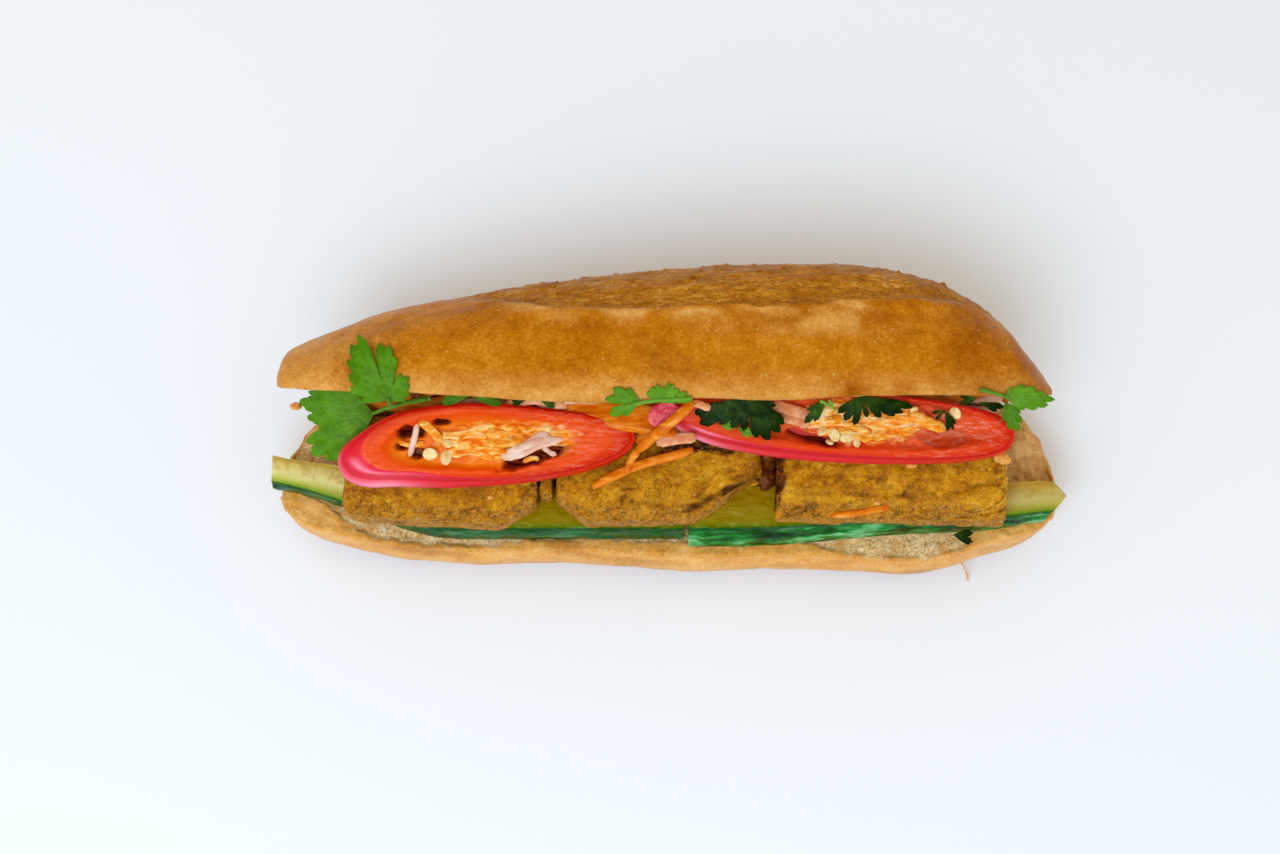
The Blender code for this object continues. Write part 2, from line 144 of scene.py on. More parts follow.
class Noise:
    """Smooth noise between about -1 and 1, the same for the same seed."""

    def __init__(self, seed):
        random = np.random.default_rng(seed)
        self.order = random.permutation(256)
        slopes = random.normal(size=(256, 3))
        self.slopes = slopes / np.linalg.norm(slopes, axis=1)[:, None]

    def __call__(self, points):
        cell = np.floor(points).astype(int)
        part = points - cell
        ease = part**3 * (part * (part * 6 - 15) + 10)
        total = np.zeros(points.shape[:-1])
        for corner in np.ndindex(2, 2, 2):
            at = (cell + corner) & 255
            hashed = self.order[(self.order[(self.order[at[..., 0]] + at[..., 1]) & 255] + at[..., 2]) & 255]
            value = ((part - corner) * self.slopes[hashed]).sum(-1)
            weight = np.prod(np.where(corner, ease, 1.0 - ease), axis=-1)
            total += value * weight
        return total * 1.6

    def layered(self, points, layers=3):
        return sum(self(points * 2.0**k + 13.7 * k) * 0.55**k for k in range(layers))


# Meshes

def grid_faces(rows, columns, ring=True, caps=True):
    """Quads, and triangles closing each end on one more point added after the rows."""
    index = np.arange(rows * columns).reshape(rows, columns)
    after = np.roll(index, -1, axis=1)
    if not ring:
        index, after = index[:, :-1], index[:, 1:]
    quads = np.stack([index[:-1], after[:-1], after[1:], index[1:]], axis=-1).reshape(-1, 4)
    if not caps:
        return quads, np.zeros((0, 3), int)
    first, last = np.full(columns, rows * columns), np.full(columns, rows * columns + 1)
    ends = [np.stack([after[0], index[0], first], axis=-1), np.stack([index[-1], after[-1], last], axis=-1)]
    return quads, np.concatenate(ends)


def capped(grid):
    """The values of a grid as one list, with the middle of its first and last row added."""
    flat = grid.reshape(-1, *grid.shape[2:])
    return np.concatenate([flat, grid[:1].mean(axis=1), grid[-1:].mean(axis=1)])


def normals_of(grid):
    """Unit normals of a grid of closed rings, pointing out."""
    along = np.gradient(grid, axis=0)
    around = np.roll(grid, -1, axis=1) - np.roll(grid, 1, axis=1)
    normal = np.cross(along, around)
    normal /= np.linalg.norm(normal, axis=-1, keepdims=True) + 1e-9
    outward = ((grid - grid.mean(axis=1, keepdims=True)) * normal).sum(-1).mean()
    return normal if outward > 0 else -normal


class Piece:
    """Closed shapes gathered into one mesh, with values on their points for the material to read."""

    def __init__(self, *keys):
        self.keys = keys
        self.points, self.quads, self.tris = [], [], []
        self.values = {key: [] for key in keys}
        self.count = 0

    def add(self, points, faces, **values):
        quads, tris = faces
        fans = np.concatenate([quads[:, [0, 1, 2]], quads[:, [0, 2, 3]], tris])
        middle = points - points.mean(axis=0)
        a, b, c = middle[fans[:, 0]], middle[fans[:, 1]], middle[fans[:, 2]]
        if np.einsum("ij,ij->", a, np.cross(b, c)) < 0:
            quads, tris = quads[:, ::-1], tris[:, ::-1]
        self.points.append(points)
        self.quads.append(quads + self.count)
        self.tris.append(tris + self.count)
        for key in self.keys:
            self.values[key].append(np.broadcast_to(values.get(key, 0.0), (len(points),)))
        self.count += len(points)

    def add_rings(self, grid, **values):
        """A grid of closed rings, with its two ends closed."""
        filled = {key: capped(v) if np.ndim(v) == 2 else v for key, v in values.items()}
        self.add(capped(grid), grid_faces(*grid.shape[:2]), **filled)

    def finish(self, name, material, stands_for=(), slot=None):
        points = (np.concatenate(self.points) + TO_CENTRE) * 0.001
        quads, tris = np.concatenate(self.quads), np.concatenate(self.tris)
        mesh = bpy.data.meshes.new(name)
        mesh.vertices.add(len(points))
        mesh.vertices.foreach_set("co", points.astype(np.float32).ravel())
        mesh.loops.add(quads.size + tris.size)
        mesh.loops.foreach_set("vertex_index", np.concatenate([quads.ravel(), tris.ravel()]).astype(np.int32))
        mesh.polygons.add(len(quads) + len(tris))
        starts = np.concatenate([np.arange(len(quads)) * 4, quads.size + np.arange(len(tris)) * 3])
        mesh.polygons.foreach_set("loop_start", starts.astype(np.int32))
        mesh.update(calc_edges=True)
        for key in self.keys:
            layer = mesh.attributes.new(key, "FLOAT", "POINT")
            layer.data.foreach_set("value", np.concatenate(self.values[key]).astype(np.float32))
        mesh.shade_smooth()
        mesh.materials.append(material)
        made = bpy.data.objects.new(name, mesh)
        bpy.context.scene.collection.objects.link(made)
        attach(made, "root")
        if stands_for:
            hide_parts(*stands_for)
        return made


def tube(path, radii, sides=10, flat=1.0, square=2.0, up=(0, 0, 1)):
    """Rings of a tube along a path, of the given radius at each point, flattened and squared as asked."""
    path = np.asarray(path, float)
    radii = np.broadcast_to(radii, (len(path),))
    forward = np.gradient(path, axis=0)
    forward /= np.linalg.norm(forward, axis=1, keepdims=True) + 1e-9
    side = np.cross(forward, np.asarray(up, float))
    side /= np.linalg.norm(side, axis=1, keepdims=True) + 1e-9
    top = np.cross(side, forward)
    angle = np.linspace(0, 2 * np.pi, sides, endpoint=False)
    c, s = signed_power(np.cos(angle), 2 / square), signed_power(np.sin(angle), 2 / square)
    ring = side[:, None] * c[None, :, None] + top[:, None] * (s * flat)[None, :, None]
    return path[:, None] + ring * radii[:, None, None]


def turned(points, centre, turn, tilt):
    """Points of a part's own frame tilted about X, turned about Z and moved into place."""
    c, s = math.cos(tilt), math.sin(tilt)
    points = points @ np.array([[1, 0, 0], [0, c, s], [0, -s, c]])
    c, s = math.cos(turn), math.sin(turn)
    return points @ np.array([[c, s, 0], [-s, c, 0], [0, 0, 1.0]]) + np.array(centre)


# Materials

class Shader:
    """A Principled material and short names for the nodes that feed it. Sizes are in millimetres."""

    def __init__(self, name, roughness=0.4, specular=0.3, tint=(255, 255, 255), glow=0.0, depths=(2, 1, 0.5)):
        self.material = bpy.data.materials.new(name)
        self.material.use_nodes = True
        self.tree = self.material.node_tree
        self.main = self.tree.nodes["Principled BSDF"]
        self.where = self.tree.nodes.new("ShaderNodeTexCoord").outputs["Object"]
        self.main.inputs["Roughness"].default_value = roughness
        self.main.inputs["Specular IOR Level"].default_value = specular
        self.main.inputs["Specular Tint"].default_value = srgb(*tint)
        self.main.inputs["Subsurface Weight"].default_value = glow
        self.main.inputs["Subsurface Radius"].default_value = [d * 0.001 for d in depths]
        self.main.inputs["Subsurface Scale"].default_value = 1.0

    def put(self, socket, value):
        if isinstance(value, bpy.types.NodeSocket):
            self.tree.links.new(value, socket)
        else:
            socket.default_value = value

    def node(self, kind, out, inputs, **settings):
        made = self.tree.nodes.new(kind)
        for key, value in settings.items():
            setattr(made, key, value)
        for key, value in inputs.items():
            self.put(made.inputs[key], value)
        return made.outputs[out]

    def finish(self, colour, normal=None, roughness=None):
        self.put(self.main.inputs["Base Color"], colour)
        if normal is not None:
            self.put(self.main.inputs["Normal"], normal)
        if roughness is not None:
            self.put(self.main.inputs["Roughness"], roughness)
        return self.material

    def attribute(self, name):
        return self.node("ShaderNodeAttribute", "Fac", {}, attribute_name=name)

    def placed(self, size, stretch=(1, 1, 1), shift=0.0):
        scale = [1000.0 / (size * s) for s in stretch]
        inputs = {"Vector": self.where, "Scale": scale, "Location": (shift, shift, shift)}
        return self.node("ShaderNodeMapping", "Vector", inputs)

    def noise(self, size, detail=3.0, rough=0.5, stretch=(1, 1, 1), shift=0.0, warp=0.0):
        inputs = {
            "Vector": self.placed(size, stretch, shift),
            "Scale": 1.0,
            "Detail": detail,
            "Roughness": rough,
            "Distortion": warp,
        }
        return self.node("ShaderNodeTexNoise", "Fac", inputs)

    def cells(self, size, feature="F1", stretch=(1, 1, 1), shift=0.0):
        inputs = {"Vector": self.placed(size, stretch, shift), "Scale": 1.0}
        return self.node("ShaderNodeTexVoronoi", "Distance", inputs, feature=feature)

    def between(self, value, low, high, to_low=0.0, to_high=1.0):
        inputs = {"Value": value, "From Min": low, "From Max": high, "To Min": to_low, "To Max": to_high}
        return self.node("ShaderNodeMapRange", "Result", inputs, interpolation_type="SMOOTHSTEP")

    def math(self, operation, a, b=0.0, c=0.0):
        return self.node("ShaderNodeMath", 0, {0: a, 1: b, 2: c}, operation=operation)

    def sum(self, *shares):
        """Values added up, each times its share."""
        total = None
        for value, share in shares:
            total = self.math("MULTIPLY", value, share) if total is None else self.math("MULTIPLY_ADD", value, share, total)
        return total

    def both(self, a, b):
        return self.math("MULTIPLY", a, b)

    def mix(self, amount, a, b, blend="MIX"):
        return self.node("ShaderNodeMix", 2, {0: amount, 6: a, 7: b}, data_type="RGBA", blend_type=blend)

    def ramp(self, value, *stops):
        made = self.tree.nodes.new("ShaderNodeValToRGB")
        ramp = made.color_ramp
        while len(ramp.elements) < len(stops):
            ramp.elements.new(0.5)
        for element, (position, colour) in zip(ramp.elements, stops):
            element.position = position
            element.color = srgb(*colour)
        self.put(made.inputs[0], value)
        return made.outputs[0]

    def relief(self, height, distance, strength=1.0, after=None):
        """Bump of that depth in millimetres, over an earlier relief."""
        inputs = {"Height": height, "Distance": distance * 0.001, "Strength": strength}
        if after is not None:
            inputs["Normal"] = after
        return self.node("ShaderNodeBump", "Normal", inputs)


def bread_look():
    look = Shader("bread", 0.40, 0.14, (255, 200, 120))
    bloom, crumb = look.attribute("bloom"), look.attribute("crumb")
    pale, dark = look.attribute("pale"), look.attribute("dark")
    blotch, mottle = look.noise(16, 2), look.noise(3.6, 4, 0.6)
    grain, fine = look.noise(0.9, 3, 0.7), look.noise(0.4, 2, 0.6)
    tone = look.sum((blotch, 0.24), (mottle, 0.34), (grain, 0.30), (fine, 0.12))
    crust = look.ramp(
        tone, (0.38, (162, 88, 0)), (0.46, (180, 104, 4)), (0.53, (192, 116, 12)), (0.62, (212, 139, 36))
    )
    golden = look.ramp(tone, (0.38, (212, 140, 48)), (0.50, (232, 170, 84)), (0.62, (246, 198, 126)))
    crust = look.mix(pale, crust, golden)
    crust = look.mix(dark, crust, look.ramp(tone, (0.40, (138, 66, 0)), (0.60, (172, 98, 8))))
    streaks = look.noise(1.2, 5, 0.70, stretch=(3.4, 1, 1), warp=0.6)
    flakes = look.noise(4.5, 4, 0.66, stretch=(2.4, 1, 1), warp=0.5, shift=6.0)
    torn = look.ramp(
        look.sum((streaks, 0.44), (flakes, 0.26), (grain, 0.30)),
        (0.38, (128, 68, 2)),
        (0.46, (164, 98, 10)),
        (0.53, (190, 122, 26)),
        (0.63, (224, 164, 78)),
    )
    crust = look.mix(bloom, crust, torn)
    dots = look.between(look.cells(2.9), 0.16, 0.06)
    dots = look.both(dots, look.between(look.noise(7, 2, shift=3.0), 0.42, 0.58))
    crust = look.mix(look.both(dots, 0.6), crust, srgb(236, 180, 100))
    fine_dots = look.both(look.between(look.cells(1.1), 0.20, 0.07), look.between(mottle, 0.42, 0.58))
    crust = look.mix(look.both(fine_dots, 0.5), crust, srgb(230, 172, 88))
    pores = look.noise(0.8, 4, 0.62, warp=0.3)
    inside = look.ramp(
        look.sum((pores, 0.7), (mottle, 0.3)),
        (0.36, (172, 118, 54)),
        (0.44, (220, 174, 106)),
        (0.54, (242, 208, 150)),
        (0.66, (254, 234, 190)),
    )
    inside = look.mix(look.between(look.noise(7, 3, shift=4.0), 0.52, 0.68, 0.0, 0.7), inside, srgb(208, 146, 66))
    specks = look.both(look.between(look.cells(1.7), 0.22, 0.08), look.between(mottle, 0.46, 0.60))
    inside = look.mix(look.both(specks, 0.7), inside, srgb(150, 84, 24))
    inside = look.mix(dark, inside, look.ramp(mottle, (0.4, (190, 124, 50)), (0.6, (230, 176, 104))))
    colour = look.mix(crumb, crust, inside)
    bumps = look.relief(look.sum((grain, 0.7), (fine, 0.3)), 0.18, 0.45)
    bumps = look.relief(look.sum((streaks, 0.6), (flakes, 0.4)), 0.9, look.both(bloom, 0.9), after=bumps)
    bumps = look.relief(look.sum((dots, 0.6), (fine_dots, 0.4)), 0.35, 0.6, after=bumps)
    bumps = look.relief(pores, 0.6, look.both(crumb, 0.8), after=bumps)
    return look.finish(colour, bumps, look.math("MULTIPLY_ADD", crumb, 0.4, look.between(mottle, 0.3, 0.7, 0.34, 0.48)))


def cucumber_look():
    look = Shader("cucumber", 0.17, 0.26, (190, 240, 190), 0.12, (2.5, 2.8, 0.8))
    skin, inward, stained = look.attribute("skin"), look.attribute("inward"), look.attribute("stained")
    fresh = look.ramp(
        inward, (0.0, (24, 104, 2)), (0.06, (120, 160, 20)), (0.20, (192, 192, 84)), (0.42, (234, 224, 146)),
        (0.62, (230, 212, 130)), (0.9, (200, 164, 70)),
    )
    oily = look.ramp(inward, (0.0, (16, 96, 2)), (0.07, (104, 126, 0)), (0.20, (150, 128, 0)), (1.0, (172, 122, 0)))
    watery = look.between(look.noise(3.0, 5, 0.66, stretch=(1, 1.6, 1), warp=0.8), 0.44, 0.60)
    fresh = look.mix(look.both(look.both(watery, look.between(inward, 0.25, 0.7)), 0.6), fresh, srgb(186, 156, 62))
    oily = look.mix(look.both(watery, 0.35), oily, srgb(162, 136, 8))
    flesh = look.mix(stained, fresh, oily)
    streaks = look.noise(2.4, 4, 0.58, stretch=(5, 1, 1), warp=0.7)
    patches = look.noise(7, 3, stretch=(1.8, 1, 1))
    # The lightest skin streaks are partly waxy streaks and partly painted highlights.
    peel = look.ramp(
        look.sum((streaks, 0.5), (patches, 0.5)),
        (0.38, (0, 36, 0)),
        (0.46, (6, 84, 12)),
        (0.53, (34, 136, 50)),
        (0.62, (130, 206, 142)),
    )
    # The left spear's skin is a darker, flat copy as painted shade; the right spear's keeps the painted highlights.
    peel = look.mix(stained, look.mix(0.8, peel, srgb(8, 66, 4)), peel)
    peel = look.mix(look.between(inward, 0.22, 0.04, 0.0, 0.85), peel, srgb(0, 62, 6))
    small = look.relief(look.noise(0.9, 3), 0.14, 0.35)
    normal = look.relief(look.noise(2.8, 3, stretch=(1.8, 1, 1)), 0.7, 0.6, after=small)
    return look.finish(look.mix(skin, flesh, peel), normal)


def tofu_look():
    look = Shader("fried_tofu", 0.28, 0.35, (255, 222, 150))
    crease, front, browned = look.attribute("crease"), look.attribute("front"), look.attribute("browned")
    grain, fine = look.noise(1.5, 5, 0.62, warp=0.6), look.noise(0.45, 3, 0.6)
    patch, spots = look.noise(7, 3, 0.5, warp=0.4), look.noise(2.6, 4, 0.62, warp=0.8, shift=5.0)
    lines = look.math("ABSOLUTE", look.math("SUBTRACT", look.noise(2.2, 3, 0.5, warp=1.6, shift=2.0), 0.5))
    top = look.ramp(
        look.sum((grain, 0.30), (patch, 0.46), (fine, 0.24)),
        (0.40, (148, 84, 0)),
        (0.46, (182, 116, 0)),
        (0.53, (208, 142, 2)),
        (0.62, (236, 178, 38)),
    )
    top = look.mix(look.between(spots, 0.54, 0.66, 0.0, 0.55), top, srgb(126, 64, 0))
    pits = look.between(look.sum((grain, 0.5), (fine, 0.5)), 0.36, 0.54)
    bubbly = look.mix(pits, srgb(118, 58, 0), srgb(206, 134, 16))
    # Painted glints: thin golden lines over the bubbly fried surface.
    thread = look.both(look.between(lines, 0.040, 0.008), look.between(spots, 0.36, 0.50))
    bubbly = look.mix(look.both(thread, 0.85), bubbly, srgb(242, 194, 104))
    bubbly = look.mix(look.between(spots, 0.54, 0.66, 0.0, 0.6), bubbly, srgb(96, 40, 2))
    fried = look.mix(look.math("MULTIPLY_ADD", front, 0.78, 0.10), top, bubbly)
    fried = look.mix(crease, fried, srgb(80, 32, 2))
    # Painted shade: the dark brown patches.
    fried = look.mix(browned, fried, look.ramp(grain, (0.40, (44, 14, 0)), (0.54, (96, 44, 2)), (0.66, (180, 108, 28))))
    glint = look.both(look.between(look.cells(1.3), 0.20, 0.05), look.between(grain, 0.47, 0.56))
    fried = look.mix(look.both(glint, 0.8), fried, srgb(252, 216, 140))
    net = look.relief(look.between(lines, 0.06, 0.0), 0.4, look.math("MULTIPLY_ADD", front, 0.6, 0.15))
    normal = look.relief(grain, 0.8, 0.8, after=look.relief(fine, 0.26, 0.8, after=net))
    return look.finish(fried, normal)


def chili_look(name, rim, flesh, inner, skin_colour):
    look = Shader(name, 0.2, 0.35, (255, 150, 110), 0.06, (3, 0.6, 0.3))
    skin, inward = look.attribute("skin"), look.attribute("inward")
    pulp, deep, pinkish = look.attribute("pulp"), look.attribute("deep"), look.attribute("pinkish")
    veins = look.noise(1.0, 4, 0.62, stretch=(4.0, 1, 1), warp=0.7)
    fibres = look.noise(2.0, 4, 0.6, stretch=(3.4, 1, 1), warp=0.7)
    wall = look.mix(look.between(inward, 0.0, 0.22), srgb(*rim), srgb(*flesh))
    wall = look.mix(look.between(inward, 0.35, 0.95), wall, srgb(*inner))
    # Painted highlight: pale pink streaks on the cut face.
    streaky = look.both(look.between(veins, 0.46, 0.66), look.both(pinkish, 0.75))
    wall = look.mix(streaky, wall, srgb(252, 164, 134))
    wall = look.mix(look.between(look.noise(7, 3), 0.46, 0.68, 0.0, 0.35), wall, srgb(208, 50, 0))
    mass = look.ramp(
        fibres, (0.36, (228, 96, 0)), (0.43, (246, 142, 28)), (0.51, (255, 184, 84)), (0.62, (255, 228, 168))
    )
    wall = look.mix(pulp, wall, mass)
    # Painted shade: the hollows are coloured near-black red.
    wall = look.mix(deep, wall, look.ramp(fibres, (0.42, (60, 8, 0)), (0.56, (120, 30, 2)), (0.68, (180, 72, 12))))
    peel = look.mix(inward, srgb(*skin_colour), srgb(230, 42, 66))
    # Painted highlight: a pale pink gloss patch on the skin.
    peel = look.mix(pinkish, peel, srgb(255, 158, 182))
    strength = look.both(look.math("MULTIPLY_ADD", skin, -0.9, 1.0), look.math("MULTIPLY_ADD", pinkish, 0.4, 0.25))
    normal = look.relief(look.mix(pulp, veins, fibres), 0.7, look.math("MULTIPLY_ADD", pulp, 0.5, strength))
    return look.finish(look.mix(skin, wall, peel), normal)


def pulp_look(name, low, high, bright, roughness=0.3, size=1.0):
    """Moist tissue with lengthwise fibres."""
    look = Shader(name, roughness, 0.3, (255, 214, 160), 0.15, (2, 0.9, 0.3))
    fibre = look.noise(size, 4, 0.6, stretch=(4, 1, 1), warp=0.5)
    shade = look.attribute("tone")
    colour = look.ramp(fibre, (0.36, low), (0.50, high), (0.66, bright))
    # Darker where tone is low: random for the shreds, and painted shade for the lumps of tone 0.
    colour = look.mix(look.between(shade, 0.0, 1.0, 0.45, 0.0), colour, srgb(*[c * 0.5 for c in low]))
    return look.finish(colour, look.relief(fibre, 0.25, 0.5))


def leaf_look():
    look = Shader("coriander", 0.36, 0.08, (220, 255, 190), 0.06, (0.8, 1.4, 0.3))
    vein, tone, outer = look.attribute("vein"), look.attribute("tone"), look.attribute("outer")
    cloudy = look.noise(3.0, 4, 0.6)
    # Tone is low for leaves in the top half's shade: painted shade, darker copies of the same green.
    blade = look.ramp(tone, (0.0, (6, 16, 0)), (0.3, (20, 44, 0)), (0.75, (76, 128, 6)), (1.0, (112, 170, 40)))
    # Painted sheen: a lighter, cooler green towards each leaf's middle.
    sheen = look.mix(tone, srgb(10, 28, 0), srgb(112, 168, 50))
    blade = look.mix(look.both(look.between(outer, 0.95, 0.35), look.between(cloudy, 0.36, 0.60)), blade, sheen)
    blade = look.mix(look.between(cloudy, 0.50, 0.64, 0.0, 0.5), blade, look.mix(tone, srgb(8, 20, 0), srgb(60, 112, 2)))
    blade = look.mix(look.both(vein, look.math("MULTIPLY_ADD", tone, 0.26, -0.03)), blade, srgb(166, 200, 116))
    puff = look.relief(look.noise(1.4, 3), 0.2, 0.4)
    return look.finish(blade, look.relief(look.math("SUBTRACT", 1.0, vein), 0.3, look.both(tone, 0.6), after=puff))


def plain_look(name, colour, other, size, roughness, depth=0.2):
    """A lightly mottled moist surface."""
    look = Shader(name, roughness, 0.35, (255, 230, 210), 0.2, (1.5, 1.0, 0.7))
    patch = look.noise(size, 4, 0.6)
    return look.finish(
        look.mix(look.between(patch, 0.40, 0.62), srgb(*colour), srgb(*other)), look.relief(patch, depth, 0.5)
    )


# The bread

def score_relief(x, angle):
    """How far the baker's cut stands out: a raised lip, a groove and swollen bread; then where it is open, and its lip."""
    away = np.abs(x - SCORE_MIDDLE) / SCORE_REACH
    inside = smoothstep(1.0, 0.75, away)
    near = SCORE_NEAR + math.radians(54) * np.minimum(away, 1.0) ** 3
    far = SCORE_FAR - math.radians(16) * np.minimum(away, 1.0) ** 3
    lip = 1.2 * bump(near, math.radians(6), angle)
    groove = 0.9 * bump(near + math.radians(12), math.radians(7), angle)
    swelling = 0.9 * bump((near + far) / 2, np.maximum(far - near, 0.1) / 3, angle)
    opened = smoothstep(near - 0.05, near + 0.16, angle) * smoothstep(far + 0.25, far - 0.10, angle)
    return (lip - groove + swelling) * inside, opened * inside, bump(near, math.radians(5), angle) * inside


def lower_half(look):
    rows, around, rise_count, face = 410, 74, 11, 96
    x = crowded(-HALF_LENGTH + 0.2, HALF_LENGTH - 0.2, rows)[:, None]
    s = np.abs(x) / HALF_LENGTH
    front, back = profile(x, LOWER_FRONT_Y), profile(x, LOWER_BACK_Y)
    middle, half = (front + back) / 2, (back - front) / 2
    base = 11.0 * smoothstep(0.78, 1.0, s) ** 1.6
    cut = CUT_Z - 2.0 * smoothstep(0.85, 1.0, s)
    angle = np.linspace(0, np.pi, around)[None, :]
    crust_y = middle + half * signed_power(-np.cos(angle), 0.7)
    crust_z = WIDEST_Z - (WIDEST_Z - base) * np.minimum(1.0, 1.06 * np.sin(angle).clip(0) ** 0.75)
    rise = np.linspace(0, 1, rise_count + 1)[None, 1:]
    wall_z = WIDEST_Z + (cut - WIDEST_Z) * rise
    wall = 1.0 - 0.07 * rise**2.2
    across = 1.0 - 2.0 * np.linspace(0, 1, face)[None, 1:-1] ** 0.72
    dish = 1.5 * (1.0 - across**2) * fullness(s, 4.0, 1.0)
    sides = [crust_y, middle + half * wall, middle + half * 0.93 * across, (middle - half * wall)[:, ::-1]]
    y = np.concatenate(sides, axis=1)
    z = np.concatenate([crust_z, wall_z, cut - dish, wall_z[:, ::-1]], axis=1)
    grid = np.stack([np.broadcast_to(x, y.shape), y, z], axis=-1)
    column = np.arange(y.shape[1])[None, :]
    on_cut = ((column >= around + rise_count - 1) & (column <= around + rise_count + across.shape[1])) * 1.0
    edge = np.minimum(y - (middle - half * 0.93), (middle + half * 0.93) - y)
    folded = np.where(y < middle, profile(x, FOLDED_IN), 1.0)
    crumb = on_cut * smoothstep(-0.8, 0.8, edge - folded + 1.0 * Noise(31).layered(grid / 3.2, 2))
    normal = normals_of(grid)
    broad = 0.5 * Noise(1).layered(grid / np.array([22.0, 12.0, 12.0])) * smoothstep(0.0, 4.0, z)
    holes = Noise(2).layered(grid / np.array([2.8, 1.9, 1.9]), 2)
    pores = (-0.4 * smoothstep(0.15, 0.6, holes) + 0.4 * Noise(3)(grid / 5.0)) * crumb
    lip = on_cut * (1 - crumb) * (0.5 + 0.5 * Noise(33).layered(grid / 5.0, 3))
    grid = grid + normal * (broad * (1 - on_cut) + pores + lip)[..., None]
    grid[..., 2] = np.maximum(grid[..., 2], 0.02)
    pale = (1 - on_cut) * smoothstep(3.0, 14.0, z) * 0.95 + on_cut * (1 - crumb) * 0.8
    dark = smoothstep(0.15, 0.7, Noise(6)(grid / np.array([22.0, 9.0, 9.0]))) * 0.5 * (1 - crumb)
    dark = np.maximum(dark, (1 - on_cut) * smoothstep(6.0, 1.0, z) * 0.6)
    dark = np.maximum(dark, crumb * smoothstep(84, 96, x + 3 * Noise(34)(grid / 7.0)) * 0.75)
    made = Piece("crumb", "bloom", "pale", "dark")
    made.add_rings(grid, crumb=crumb, pale=pale, dark=dark)
    made.finish("bread_lower", look, ("baguette",), "crust")


def upper_point(x, along, out):
    """Points of the upper half: along from the hinge to the front edge, and out from the cut face."""
    y = HINGE_Y - along * math.cos(TOP_OPENS) + out * math.sin(TOP_OPENS)
    z = HINGE_Z + along * math.sin(TOP_OPENS) + out * math.cos(TOP_OPENS)
    return np.stack([np.broadcast_to(x, y.shape), y, z], axis=-1)


